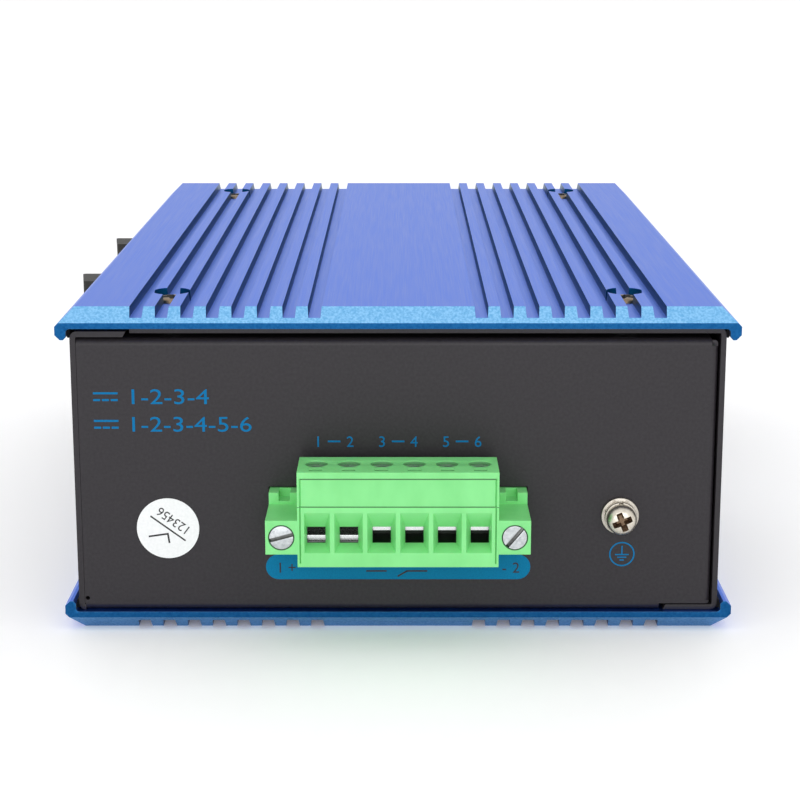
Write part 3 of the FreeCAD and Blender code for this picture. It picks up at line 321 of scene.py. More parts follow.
def earth_mark(mesh, u, v, face):
    """Adds the bars of the earth sign: a stem and three bars that grow shorter."""
    stroke, stem = 0.2 * mm, 1.4 * mm
    drop, step = 0.08 * mm, 0.46 * mm
    bar_sign(mesh, u, v + stem / 2, stroke, stem, face)
    for k, width in enumerate((2.2 * mm, 1.45 * mm, 0.7 * mm)):
        bar_sign(mesh, u, v - drop - step * k, width, stroke, face)


def contact_sign(mesh, v, face):
    """Adds the sign for a switched contact: a line, a gap with a slanting arm, and a line."""
    stroke = 0.26 * mm
    arm = [(0.0, v - 1.0 * mm), (1.5 * mm, v - stroke / 2), (1.4 * mm, v + stroke / 2),
           (-0.15 * mm, v - 0.8 * mm)]
    for middle, length in ((-3.5 * mm, 3.3 * mm), (3.0 * mm, 3.4 * mm)):
        bar_sign(mesh, middle, v, length, stroke, face)
    flat_sign(mesh, arm, face)


panel_ink = plain_finish(
    "blue_panel_ink", swatch(6, 106, 160), swatch(12, 116, 170), rough=0.6, grain=0.25 * mm,
    relief=0.002 * mm, Specular_IOR_Level=0.1)
panel_face = on_face((0, tray_low.y, 0), (1, 0, 0), (0, 0, 1))
supply_sign_left, supply_sign_rise, supply_sign_width = -48.2 * mm, 1.2 * mm, 3.9 * mm
supply_left, supply_digit = -43.0 * mm, 2.45 * mm
pole_pitch, pole_count = 5.08 * mm, 6
pole_foot, pole_digit = 30.5 * mm, 1.75 * mm
pair_bar_v, pair_bar_length, pair_bar_stroke = 31.4 * mm, 2.0 * mm, 0.28 * mm
earth_u, earth_v = 36.0 * mm, 12.65 * mm
earth_ring, earth_ring_stroke = 4.1 * mm, 0.22 * mm
print_lines = bmesh.new()
for words, foot, width in (("1-2-3-4", 37.5 * mm, 12.2 * mm), ("1-2-3-4-5-6", 33.0 * mm, 18.9 * mm)):
    direct_current_sign(
        print_lines, supply_sign_left, foot + supply_sign_rise, supply_sign_width, panel_face)
    numerals(print_lines, words, supply_left, foot, supply_digit, panel_face, width=width)
for k in range(pole_count):
    pole_u = (k - (pole_count - 1) / 2) * pole_pitch
    numerals(print_lines, str(k + 1), pole_u, pole_foot, pole_digit, panel_face, "CENTER")
    if k % 2:
        between_u = pole_u - pole_pitch / 2
        bar_sign(print_lines, between_u, pair_bar_v, pair_bar_length, pair_bar_stroke, panel_face)
ring_sign(print_lines, earth_u, earth_v, earth_ring, earth_ring_stroke, panel_face)
earth_mark(print_lines, earth_u, earth_v, panel_face)
piece_from("panel_print", print_lines, panel_ink)

band_ink = plain_finish(
    "blue_band_ink", swatch(4, 112, 156), swatch(10, 122, 168), rough=0.6, grain=0.25 * mm,
    relief=0.002 * mm, Specular_IOR_Level=0.1)
band_half = 21.3 * mm
band_low, band_high = 8.4 * mm, 12.6 * mm
band_round = 2.08 * mm
corner_steps = 8
band_outline = []
for right, up, first in ((1, 1, 0), (-1, 1, 90), (-1, -1, 180), (1, -1, 270)):
    middle_u = right * (band_half - band_round)
    middle_v = (band_low + band_high) / 2 + up * ((band_high - band_low) / 2 - band_round)
    for k in range(corner_steps + 1):
        turn = math.radians(first + 90 * k / corner_steps)
        band_outline.append((
            middle_u + band_round * math.cos(turn), middle_v + band_round * math.sin(turn),
        ))
band = bmesh.new()
flat_sign(band, band_outline, panel_face)
piece_from("band_print", band, band_ink)

sign_proud = 0.01 * mm
sign_foot, sign_digit, contact_v = 9.5 * mm, 1.75 * mm, 9.8 * mm
band_face = on_face((0, tray_low.y - sign_proud, 0), (1, 0, 0), (0, 0, 1))
band_signs = bmesh.new()
for words, sign_u in (("1", -19.0 * mm), ("+", -17.1 * mm), ("-", 17.1 * mm), ("2", 19.0 * mm)):
    numerals(band_signs, words, sign_u, sign_foot, sign_digit, band_face, "CENTER")
contact_sign(band_signs, contact_v, band_face)
piece_from("band_signs", band_signs, powder_coat)

# Press nuts and posts
# Steel nuts and six-sided posts, turned from bar, zinc plated, and pressed in the sheet before the boards
# go in. Spacers screwed in the posts hold the two boards apart, and small screws close the stack.

zinc_plate = grained_finish(
    "zinc_plate", swatch(172, 176, 180), swatch(204, 206, 207), rough=(0.26, 0.40), grain=0.8 * mm,
    detail=4.0, fine_grain=0.12 * mm, relief=0.002 * mm, Metallic=1.0)
dress(zinc_plate, "press_nuts", "earth_press_nut", "din_press_nuts", "board_standoffs", "board_spacers",
      "board_screws")

# Power board and its parts
# Glass-fibre laminate under green solder mask, screwed on the posts. It carries the transformer and chokes
# of pressed ferrite, aluminium capacitors in dark sleeves, and black moulded chips, all soldered on.

solder_mask = grained_finish(
    "green_solder_mask", swatch(12, 78, 44), swatch(22, 98, 58), rough=(0.30, 0.42), grain=0.6 * mm,
    stretch=(1, 3, 1), relief=0.006 * mm, Coat_Weight=0.4, Coat_Roughness=0.15)
dress(solder_mask, "power_board", "main_board")
moulded_black = plain_finish(
    "moulded_black", swatch(24, 24, 26), swatch(33, 33, 35), rough=0.5, grain=0.15 * mm, relief=0.004 * mm)
dress(moulded_black, "power_chips", "switch_chip", "board_link_socket", "lan_transformers",
      "sfp_connector_1", "sfp_connector_2")
pressed_ferrite = plain_finish(
    "pressed_ferrite", swatch(50, 50, 52), swatch(70, 69, 70), rough=0.6, grain=0.3 * mm, relief=0.02 * mm)
dress(pressed_ferrite, "power_transformer", "power_inductors")
sleeve = plain_finish(
    "capacitor_sleeve", swatch(52, 60, 84), swatch(62, 70, 96), rough=0.3, grain=2 * mm, relief=0.01 * mm)
dress(sleeve, "bulk_capacitors")
tinned = plain_finish(
    "tinned_brass", swatch(196, 194, 186), swatch(216, 214, 208), rough=0.24, grain=0.3 * mm,
    relief=0.002 * mm, Metallic=1.0)
dress(tinned, "board_link_pins", "header_pins")

# Main board's cooling
# A pad of soft grey silicone, cut from sheet, lies on the switch chip. A block sawn from an aluminium
# extrusion sits on it and leads the heat up to the cover.

silicone = plain_finish(
    "grey_silicone", swatch(128, 132, 138), swatch(146, 150, 156), rough=0.7, grain=0.4 * mm,
    relief=0.01 * mm)
dress(silicone, "chip_thermal_pad")
bare_aluminium = grained_finish(
    "extruded_aluminium", swatch(168, 170, 172), swatch(196, 197, 198), rough=(0.30, 0.44), grain=0.1 * mm,
    stretch=(1, 1, 60), relief=0.003 * mm, Metallic=1.0)
dress(bare_aluminium, "heat_block", "din_clip")

# Network sockets
# Black moulded sockets in folded cans of tinned steel, with gilt springs under the roof of each mouth. They
# are soldered to the main board, and their mouths look out through the port wall.

bright_tin = grained_finish(
    "bright_tin", swatch(160, 161, 162), swatch(188, 188, 187), rough=(0.20, 0.32), grain=0.14 * mm,
    stretch=(1, 40, 1), relief=0.002 * mm, Metallic=1.0)
gilt = plain_finish(
    "gilt_springs", swatch(214, 172, 88), swatch(232, 194, 108), rough=0.22, grain=0.2 * mm,
    relief=0.001 * mm, Metallic=1.0)
for k in range(1, 5):
    dress(bright_tin, f"rj45_shield_{k}")
    dress(moulded_black, f"rj45_jack_{k}")
    dress(gilt, f"rj45_contacts_{k}")
    ease_edges(0.08 * mm, f"rj45_shield_{k}")
    ease_edges(0.15 * mm, f"rj45_jack_{k}")

# Module cages and dust plugs
# Folded cages of bright tinned sheet on the main board. Each is shut by a plug of dark soft rubber with a
# raked finger grip, pushed in by hand.

rubber = grained_finish(
    "dust_plug_rubber", swatch(50, 49, 47), swatch(64, 62, 59), rough=(0.52, 0.66), grain=0.35 * mm,
    detail=4.0, relief=0.012 * mm, Specular_IOR_Level=0.25)
for k in (1, 2):
    dress(bright_tin, f"sfp_cage_{k}")
    dress(rubber, f"sfp_dust_plug_{k}")
    ease_edges(0.25 * mm, f"sfp_dust_plug_{k}", segments=3)

# Light pipe and lights
# One moulding of clear acrylic, with eight windows that reach through the port wall. It sits over the small
# lights that are soldered to the main board.

clear_moulding = grained_finish(
    "clear_moulding", swatch(226, 232, 234), swatch(240, 244, 245), rough=(0.10, 0.18), grain=3 * mm,
    relief=0.01 * mm, IOR=1.49, Transmission_Weight=0.85)
dress(clear_moulding, "led_light_pipe")
ease_edges(0.12 * mm, "led_light_pipe")
light_body = plain_finish(
    "light_body", swatch(226, 226, 214), swatch(238, 238, 228), rough=0.4, grain=0.3 * mm,
    relief=0.002 * mm)
dress(light_body, "indicator_leds")

# Port numbers
# White ink, silk-screened on the coated port wall before assembly: a plain number under each socket and
# each cage, low enough to show under the dust plugs.

port_ink = plain_finish(
    "white_port_ink", swatch(206, 208, 210), swatch(220, 222, 224), rough=0.5, grain=0.2 * mm,
    relief=0.002 * mm)
port_digit, port_digit_drop = 2.4 * mm, 6.8 * mm
wall_face = on_face((tray_low.x, 0, 0), (0, -1, 0), (0, 0, 1))
port_numbers = bmesh.new()
mouths = [f"rj45_shield_{k}" for k in range(1, 5)] + ["sfp_cage_1", "sfp_cage_2"]
for k, name in enumerate(mouths):
    mouth_low, mouth_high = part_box(name)
    middle_y = (mouth_low.y + mouth_high.y) / 2
    foot = mouth_low.z - port_digit_drop
    numerals(port_numbers, str(k + 1), -middle_y, foot, port_digit, wall_face, "CENTER")
piece_from("port_numbers", port_numbers, port_ink)

# Terminal socket and plug
# Glass-filled nylon, moulded in light green: a socket on the power board, and a plug with six poles that
# two slotted screws hold to it. Painted shade darkens the plug's shafts and screw holes, the joints under
# its front cap and round its flange screws, and the slots of those screws.

plug_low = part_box("terminal_plug_housing")[0]


def inside_plug(finish, half_width, depths, heights, fade=0.15 * mm):
    """Share that is 1 inside a box in the plug and fades to 0 over its rim.

    Depths are measured from the plug's front, and heights from its foot.
    """
    low = (-half_width, plug_low.y + depths[0], plug_low.z + heights[0])
    high = (half_width, plug_low.y + depths[1], plug_low.z + heights[1])
    spot = finish.axes(finish.place)
    share = 1.0
    for axis, start, stop in zip("XYZ", low, high):
        past_start = finish.level(spot[axis], 0.0, 1.0, start, start + fade)
        before_stop = finish.level(spot[axis], 1.0, 0.0, stop - fade, stop)
        share = finish.work("MULTIPLY", finish.work("MULTIPLY", share, past_start), before_stop)
    return share


nylon = Finish("green_nylon", Subsurface_Weight=0.06, Subsurface_Scale=0.6 * mm)
nylon_flow = nylon.grain(4 * mm, stretch=(1, 1, 2), detail=3.0)
nylon_skin = nylon.grain(0.12 * mm)
moulded = nylon.blend(nylon_flow, swatch(123, 217, 130), swatch(133, 226, 140))
shaded = nylon.blend(nylon_skin, swatch(48, 104, 56), swatch(60, 120, 68))
# Painted shade: the screw holes in the plug's top are a darker green, where shade falls inside them.
hole_shade = nylon.blend(nylon_skin, swatch(92, 156, 98), swatch(102, 166, 108))
# Painted shade: the inside of the plug's shafts is near black, where shade falls deep in them.
shaft_shade = nylon.blend(nylon_skin, swatch(10, 30, 12), swatch(18, 44, 20))
poles_half, cap_half, body_half = 15.3 * mm, 15.1 * mm, 15.7 * mm
joint_fade = 0.03 * mm
in_shafts = inside_plug(nylon, poles_half, depths=(2.2 * mm, 7.8 * mm), heights=(0.6 * mm, 10.5 * mm))
in_holes = inside_plug(nylon, poles_half, depths=(0.8 * mm, 7.8 * mm), heights=(10.3 * mm, 15.1 * mm))
# Painted shade in the joints: thin dark lines under the front cap and over the body, and a dark ring round
# each flange screw.
cap_joint = inside_plug(
    nylon, cap_half, depths=(-0.2 * mm, 0.4 * mm), heights=(13.96 * mm, 14.23 * mm), fade=joint_fade)
body_joint = inside_plug(
    nylon, body_half, depths=(-0.2 * mm, 0.5 * mm), heights=(9.58 * mm, 9.72 * mm), fade=joint_fade)
flange_low, flange_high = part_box("terminal_flange_screws")
flange_head = (flange_high.z - flange_low.z) / 2
screw_gap, screw_gap_rim = 0.16 * mm, 0.24 * mm
plug_spot = nylon.axes(nylon.place)
off_x = nylon.work("SUBTRACT", nylon.work("ABSOLUTE", plug_spot["X"]), flange_high.x - flange_head)
off_z = nylon.work("SUBTRACT", plug_spot["Z"], flange_high.z - flange_head)
off_squares = [nylon.work("MULTIPLY", off, off) for off in (off_x, off_z)]
off_axis = nylon.work("SQRT", nylon.work("ADD", *off_squares))
screw_joint = nylon.level(off_axis, 1.0, 0.0, flange_head + screw_gap, flange_head + screw_gap_rim)
joints = nylon.work("MAXIMUM", screw_joint, nylon.work("MAXIMUM", cap_joint, body_joint))
outside = nylon.mix(in_holes, nylon.mix(joints, moulded, shaded), hole_shade)
nylon.drive("Base Color", nylon.mix(in_shafts, outside, shaft_shade))
nylon.drive("Roughness", nylon.level(nylon_skin, 0.34, 0.46))
nylon.bump(nylon_skin, 0.003 * mm)
dress(nylon, "terminal_plug_housing", "terminal_header")
ease_edges(0.06 * mm, "terminal_plug_housing", "terminal_header")

bright_nickel = grained_finish(
    "bright_nickel", swatch(204, 207, 209), swatch(226, 228, 228), rough=(0.20, 0.32), grain=0.4 * mm,
    detail=4.0, fine_grain=0.09 * mm, relief=0.0015 * mm, Metallic=1.0)
dress(bright_nickel, "terminal_clamp_plates")
slotted_nickel = Finish("slotted_nickel", Metallic=1.0)
head_haze = slotted_nickel.grain(0.4 * mm, detail=4.0)
head_face = slotted_nickel.blend(head_haze, swatch(172, 177, 180), swatch(202, 206, 208))
# Painted shade: the floor of each screw's slot is darker, where shade falls in it.
slot_shade = slotted_nickel.blend(head_haze, swatch(92, 94, 92), swatch(124, 126, 124))
slot_mouth, slot_floor = flange_low.y + 0.1 * mm, flange_low.y + 0.3 * mm
in_slot = slotted_nickel.level(
    slotted_nickel.axes(slotted_nickel.place)["Y"], 0.0, 1.0, slot_mouth, slot_floor)
slotted_nickel.drive("Base Color", slotted_nickel.mix(in_slot, head_face, slot_shade))
slotted_nickel.drive("Roughness", slotted_nickel.level(head_haze, 0.26, 0.40))
slotted_nickel.bump(slotted_nickel.grain(0.09 * mm), 0.0015 * mm)
dress(slotted_nickel, "terminal_flange_screws")
dress(zinc_plate, "terminal_clamp_screws")
ease_edges(0.07 * mm, "terminal_clamp_plates", "terminal_clamp_screws", "terminal_flange_screws")
turned_brass = plain_finish(
    "turned_brass", swatch(206, 168, 96), swatch(220, 184, 112), rough=0.3, grain=0.2 * mm,
    relief=0.002 * mm, Metallic=1.0)
dress(turned_brass, "header_flange_nuts")

# Shade strips in the lip channels
# Strips of black along the case's side walls, in the seams that the plates' lips close over: painted shade,
# dark pieces put where the channel lies in shade.

# Painted shade: black strips put in the channels behind the lips, where there is only shade.
shade_strip_finish = plain_finish(
    "shade_strip_black", swatch(13, 13, 14), swatch(24, 24, 26), rough=0.8, grain=0.3 * mm, relief=0.03 * mm,
    Specular_IOR_Level=0.2)
plate_low, plate_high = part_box("top_heat_sink_plate")
case_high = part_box("rear_cover")[1]
lip_thickness = 1.75 * mm
strip_squeeze = 0.03 * mm
strip_inset, strip_lift = 0.3 * mm, 0.12 * mm
strip_half = (plate_high.x - lip_thickness - case_high.x) / 2 + strip_squeeze
strip_middle = case_high.x - strip_squeeze + strip_half
strip_top = case_high.z - strip_inset
strip_foot = plate_low.z + strip_lift
strip_end = case_high.y - strip_inset
round_steps = 8
strip_outline = [(strip_half, strip_top), (-strip_half, strip_top)]
for k in range(round_steps + 1):
    turn = math.radians(180 + 180 * k / round_steps)
    strip_outline.append((strip_half * math.cos(turn), strip_foot + strip_half * (1 + math.sin(turn))))
mid_height = (cad_box[0].z + cad_box[1].z) / 2
shade_strip_mesh = bmesh.new()
for side in (-1, 1):
    for lower in (False, True):
        section = [
            (side * (strip_middle + off_middle), 2 * mid_height - z if lower else z)
            for off_middle, z in strip_outline
        ]
        skin_over(shade_strip_mesh, [[shade_strip_mesh.verts.new((x, y, z)) for x, z in section] for y in (-strip_end, strip_end)])
piece_from("channel_shade_strips", shade_strip_mesh, shade_strip_finish)

# Heat-sink plates
# Aluminium extrusions with a grooved face and a lip along each side, sawn to length, milled to a bevel
# across both ends, and anodised blue. Die lines run along the grooves and the milled bevels sparkle on top.
# Shade is painted in: the channel behind the lips is dull and near black, the groove walls and the bevels
# that look down are darker, and the sawn ends are darker partly for their finish and partly as shade.

# Places on the plate where the bevel, the plain rim and the lips start and where they are whole
bevel_start, bevel_whole = plate_high.y - 3.5 * mm, plate_high.y - 3.0 * mm
grooves_end, rim_start = plate_high.x - 4.75 * mm, plate_high.x - 3.75 * mm
lip_start, lip_whole = plate_high.x - 9.75 * mm, plate_high.x - 5.75 * mm
# How squarely a face looks along an axis, where each kind of face starts and where it is whole
slanting, square_on, steep = (0.3, 0.5), (0.85, 0.95), (0.1, 0.4)
# How much of the sawn ends' dark colour a bevel that looks down takes as painted shade, and how soon
under_shade, under_fade = 0.6, 0.3
anodised = Finish("blue_anodised_skin", Metallic=1.0)
facing = anodised.axes(anodised.add("NewGeometry").outputs["True Normal"])
plate_spot = anodised.axes(anodised.place)
along, across, end_facing, flat_facing = [
    anodised.work("ABSOLUTE", part)
    for part in (plate_spot["Y"], plate_spot["X"], facing["Y"], facing["Z"])
]
at_ends = anodised.level(along, 0.0, 1.0, bevel_start, bevel_whole)
towards_end = anodised.work("MULTIPLY", end_facing, at_ends)
milled = anodised.level(towards_end, 0.0, 1.0, *slanting)
# Painted shade: bevels that look down take part of the sawn ends' dark colour.
downwards = anodised.level(facing["Z"], under_shade, 0.0, -under_fade, under_fade)
sawn_and_under_shade = anodised.work("MAXIMUM", anodised.level(towards_end, 0.0, 1.0, *square_on),
                     anodised.work("MULTIPLY", milled, downwards))
bored = anodised.level(end_facing, 0.0, 1.0, *slanting)
in_grooves = anodised.level(across, 1.0, 0.0, grooves_end, rim_start)
groove_wall = anodised.work("MULTIPLY", anodised.level(flat_facing, 1.0, 0.0, *steep), in_grooves)
outwards = anodised.work("MULTIPLY", facing["X"], plate_spot["X"])
lip_inside = anodised.level(outwards, 1.0, 0.0, -lip_whole, -lip_start)
die_streaks = anodised.grain(0.12 * mm, stretch=(1, 120, 1), detail=3.0)
sparkle = anodised.grain(0.36 * mm, detail=4.0)
skin = anodised.blend(die_streaks, swatch(54, 107, 214), swatch(62, 115, 222))
cut_face = anodised.blend(sparkle, swatch(110, 179, 230), swatch(149, 208, 252), 0.35, 0.65)
# Partly painted shade: the sawn ends, which face along the plate, are darker than the milled bevels.
sawn_shaded_face = anodised.blend(sparkle, swatch(18, 74, 126), swatch(30, 90, 142))
# Painted shade: the groove walls are a darker blue than the faces between them.
groove_wall_shade = anodised.blend(die_streaks, swatch(18, 82, 130), swatch(24, 90, 140))
bored_wall = anodised.blend(die_streaks, swatch(14, 92, 146), swatch(20, 100, 156))
# Painted shade: the channel behind each lip is dull and near black, where shade falls.
lip_channel_shade = anodised.blend(die_streaks, swatch(8, 16, 36), swatch(12, 22, 46))
walls = anodised.mix(bored, groove_wall_shade, bored_wall)
drawn = anodised.mix(lip_inside, anodised.mix(groove_wall, skin, walls), lip_channel_shade)
anodised.drive("Base Color", anodised.mix(sawn_and_under_shade, anodised.mix(milled, drawn, cut_face), sawn_shaded_face))
anodised.drive("Roughness", anodised.work("MAXIMUM", anodised.level(die_streaks, 0.34, 0.44),
                                          anodised.level(lip_inside, 0.0, 0.9, 0.0, 1.0)))
anodised.drive("Metallic", anodised.level(lip_inside, 1.0, 0.0, 0.0, 1.0))
anodised.bump(die_streaks, 0.002 * mm)
anodised.bump(sparkle, 0.003 * mm)
dress(anodised, "top_heat_sink_plate", "bottom_heat_sink_plate")
ease_edges(0.12 * mm, "top_heat_sink_plate", "bottom_heat_sink_plate", angle=25)

# Plate screws
# Small steel screws with low heads and cross recesses, cold headed and nickel plated. They sit sunk in the
# plates' counterbores, four in each plate, and run into the press nuts.


def turned_profile(mesh, profile, steps=40):
    """Adds a turned body: (radius, height) points spun round the Z axis, closed at both ends."""
    rings = []
    for radius, height in profile:
        if radius == 0:
            rings.append([mesh.verts.new((0, 0, height))])
            continue
        turns = [2 * math.pi * k / steps for k in range(steps)]
        rings.append([mesh.verts.new((radius * math.cos(t), radius * math.sin(t), height)) for t in turns])
    for lower, upper in zip(rings, rings[1:]):
        for k in range(steps):
            j = (k + 1) % steps
            corners = [ring[i % len(ring)] for ring, i in ((lower, k), (lower, j), (upper, j), (upper, k))]
            mesh.faces.new(list(dict.fromkeys(corners)))


def cross_punch(mesh, top, depth, reach, width):
    """Adds the punch of a cross recess: a plus outline that narrows to its tip."""
    clear, tip_share = 0.4 * mm, 0.5
    w, r = width / 2, reach / 2
    arm = [(w, w), (w, r), (-w, r)]
    plus = []
    for _ in range(4):
        plus += arm
        arm = [(-v, u) for u, v in arm]
    loops = []
    for height, taper in ((top + clear, 1.0), (top, 1.0), (top - depth, tip_share)):
        loops.append([mesh.verts.new((u * taper, v * taper, height)) for u, v in plus])
    skin_over(mesh, loops)


def recessed_screw(profile, plating, recess_shade_finish, depth, reach, width):
    """Mesh of a turned screw along Z, head upwards, with its cross recess punched in."""
    head_top = profile[-1][1]
    blank_mesh, punch_mesh = bmesh.new(), bmesh.new()
    turned_profile(blank_mesh, profile)
    cross_punch(punch_mesh, head_top, depth, reach, width)
    parts = []
    for name, mesh, finish in (("blank", blank_mesh, plating), ("punch", punch_mesh, recess_shade_finish)):
        bmesh.ops.recalc_face_normals(mesh, faces=mesh.faces)
        parts.append(object_from(name, mesh, finish))
    blank, punch = parts
    stamping = blank.modifiers.new("recess", "BOOLEAN")
    stamping.object = punch
    stamping.solver = "EXACT"
    stamping.material_mode = "TRANSFER"
    bpy.context.view_layer.update()
    screw = bpy.data.meshes.new_from_object(blank.evaluated_get(bpy.context.evaluated_depsgraph_get()))
    for part in parts:
        bpy.data.objects.remove(part)
    return screw


def set_screw(mesh, screw, seat, turn):
    """Adds a copy of a screw to a mesh, on its seat and turned round its axis by an angle in degrees."""
    copy = screw.copy()
    copy.transform(seat @ Matrix.Rotation(math.radians(turn), 4, "Z"))
    mesh.from_mesh(copy)
    bpy.data.meshes.remove(copy)


def screw_piece(name, mesh, plating, recess_shade_finish):
    """Makes a piece of recessed screws: plated, with painted shade in the recess, smooth, and crisp at the
    edges.
    """
    crisp_from = math.radians(35)
    piece = piece_from(name, mesh, plating)
    piece.data.materials.append(recess_shade_finish.material)
    piece.data.shade_smooth()
    piece.data.set_sharp_from_angle(angle=crisp_from)
    return piece


# Partly painted shade: the plate screws' nickel is dulled and darkened, as they sit in the shade of the
# counterbores.
dull_nickel_in_shade = grained_finish(
    "dull_nickel_in_shade", swatch(122, 106, 88), swatch(150, 132, 112), rough=(0.36, 0.50), grain=0.5 * mm,
    detail=4.0, fine_grain=0.09 * mm, relief=0.002 * mm, Metallic=1.0)
# Painted shade: the plate screws' cross recesses are near black.
black_recess_shade = plain_finish(
    "black_recess_shade", swatch(20, 18, 16), swatch(34, 30, 26), rough=0.6, grain=0.25 * mm, relief=0.01 * mm)
head_radius, head_height = 2.6 * mm, 1.2 * mm
shank_radius, shank_length = 1.45 * mm, 4.6 * mm
low_head = [
    (0, -shank_length), (shank_radius, -shank_length), (shank_radius, 0), (head_radius, 0),
    (head_radius, 0.62 * head_height), (0.95 * head_radius, 0.82 * head_height),
    (0.82 * head_radius, 0.95 * head_height), (0.62 * head_radius, head_height), (0, head_height),
]
plate_screw = recessed_screw(
    low_head, dull_nickel_in_shade, black_recess_shade, depth=1.0 * mm, reach=3.7 * mm, width=1.25 * mm)
screws_low, screws_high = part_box("plate_screws")
screw_x = screws_high.x - head_radius
screw_y = screws_high.y - head_radius
counterbores = ((screws_high.z - head_height, 0), (screws_low.z + head_height, math.pi))
screw_turns = (18, 64, 41, 7, 52, 29, 75, 36)
screw_heads = bmesh.new()
for k, turn in enumerate(screw_turns):
    x = screw_x if k % 2 else -screw_x
    y = screw_y if k // 2 % 2 else -screw_y
    z, roll = counterbores[k // 4]
    set_screw(screw_heads, plate_screw, Matrix.Translation((x, y, z)) @ Matrix.Rotation(roll, 4, "X"), turn)
plate_screw_set = screw_piece("plate_screw_set", screw_heads, dull_nickel_in_shade, black_recess_shade)
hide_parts("plate_screws")

# Earth screw and washers
# A pan-head screw with a cross recess, on a split spring washer and a flat washer, all of nickel-plated
# steel. It runs into a press nut behind the panel and clamps the earth wire.

nickel = grained_finish(
    "warm_nickel", swatch(204, 196, 182), swatch(226, 219, 206), rough=(0.28, 0.40), grain=0.5 * mm,
    detail=4.0, fine_grain=0.09 * mm, relief=0.0015 * mm, Metallic=1.0)
recess_shade = plain_finish(
    "punched_recess", swatch(112, 92, 74), swatch(144, 122, 100), rough=0.5, grain=0.25 * mm,
    relief=0.01 * mm, Metallic=1.0)
washer_nickel = plain_finish(
    "washer_nickel", swatch(170, 164, 154), swatch(194, 188, 178), rough=0.32, grain=0.5 * mm,
    relief=0.002 * mm, Metallic=1.0)
dress(washer_nickel, "earth_flat_washer", "earth_spring_washer")
ease_edges(0.08 * mm, "earth_flat_washer", "earth_spring_washer")
earth_low, earth_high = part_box("earth_screw")
earth_middle = (earth_low + earth_high) / 2
earth_radius = (earth_high.x - earth_low.x) / 2
spring_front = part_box("earth_spring_washer")[0].y
earth_head_height = spring_front - earth_low.y
earth_tip = spring_front - earth_high.y
earth_shank = 1.95 * mm
rim_share, dome_share, crown_share = 0.38, 0.60, 0.35
dome_steps = 8
pan_head = [
    (0, earth_tip), (earth_shank, earth_tip), (earth_shank, 0), (0.97 * earth_radius, 0),
    (earth_radius, 0.08 * earth_head_height), (earth_radius, rim_share * earth_head_height),
]
for k in range(1, dome_steps):
    turn = math.radians(90 * k / dome_steps)
    pan_head.append((
        earth_radius * (crown_share + (1 - crown_share) * math.cos(turn)),
        earth_head_height * (rim_share + dome_share * math.sin(turn)),
    ))
pan_head.append((0, earth_head_height))
pan_screw = recessed_screw(
    pan_head, nickel, recess_shade, depth=1.3 * mm, reach=3.5 * mm, width=1.05 * mm)
earth_seat = Matrix.Translation((earth_middle.x, spring_front, earth_middle.z))
earth_turn = 22
earth_mesh = bmesh.new()
set_screw(earth_mesh, pan_screw, earth_seat @ Matrix.Rotation(math.pi / 2, 4, "X"), earth_turn)
earth_screw = screw_piece("earth_screw_recessed", earth_mesh, nickel, recess_shade)
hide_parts("earth_screw")

# Rear wall's rail clip
# Extruded aluminium clip, held by two countersunk screws with cross recesses, with a bowed leaf of spring
# steel in its slot.

spring_steel = plain_finish(
    "spring_steel", swatch(150, 152, 156), swatch(172, 174, 178), rough=0.3, grain=0.3 * mm,
    relief=0.002 * mm, Metallic=1.0)
dress(spring_steel, "din_clip_spring")
ease_edges(0.2 * mm, "din_clip")
ease_edges(0.08 * mm, "din_clip_spring")
clip_low, clip_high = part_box("din_clip_screws")
clip_middle_z = (clip_low.z + clip_high.z) / 2
clip_tip = clip_low.x - clip_high.x
clip_head, clip_shank = 2.75 * mm, 1.45 * mm
cone_foot, head_rim = -1.4 * mm, -0.1 * mm
flush_head = [
    (0, clip_tip), (clip_shank, clip_tip), (clip_shank, cone_foot), (clip_head, head_rim),
    (0.98 * clip_head, 0), (0, 0),
]
clip_screw = recessed_screw(
    flush_head, zinc_plate, recess_shade, depth=1.2 * mm, reach=3.4 * mm, width=0.95 * mm)
clip_pair = bmesh.new()
for y, turn in ((clip_low.y + clip_head, 33), (clip_high.y - clip_head, 71)):
    clip_seat = Matrix.Translation((clip_high.x, y, clip_middle_z))
    set_screw(clip_pair, clip_screw, clip_seat @ Matrix.Rotation(math.pi / 2, 4, "Y"), turn)
clip_screw_pair = screw_piece("clip_screw_pair", clip_pair, zinc_plate, recess_shade)
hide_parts("din_clip_screws")

# Inspection sticker
# A round of white coated paper on the panel, printed in black with a tick, a rule and plain numbers.
# It was stuck on nearly upside down, so the tick is at its lower left.

paper = plain_finish(
    "sticker_paper", swatch(234, 236, 237), swatch(242, 243, 244), rough=0.55, grain=0.4 * mm,
    relief=0.004 * mm)
dress(paper, "inspection_sticker")
sticker_ink = plain_finish(
    "black_sticker_ink", swatch(22, 22, 24), swatch(34, 34, 36), rough=0.5, grain=0.2 * mm,
    relief=0.002 * mm)
sticker_low, sticker_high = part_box("inspection_sticker")
sticker_middle = (sticker_low + sticker_high) / 2
askew = math.radians(143.3)
sticker_face = on_face(
    (sticker_middle.x, sticker_low.y, sticker_middle.z),
    (math.cos(askew), 0, math.sin(askew)), (-math.sin(askew), 0, math.cos(askew)))
tick_outline = [
    (-1.7 * mm, 1.75 * mm), (-1.5 * mm, 1.95 * mm), (-0.5 * mm, 0.95 * mm), (1.6 * mm, 3.05 * mm),
    (1.8 * mm, 2.85 * mm), (-0.5 * mm, 0.55 * mm),
]
rule_length, rule_stroke = 6.9 * mm, 0.25 * mm
number_foot, number_height, number_width = -2.25 * mm, 1.5 * mm, 5.7 * mm
sticker_print = bmesh.new()
flat_sign(sticker_print, tick_outline, sticker_face)
bar_sign(sticker_print, 0, 0, rule_length, rule_stroke, sticker_face)
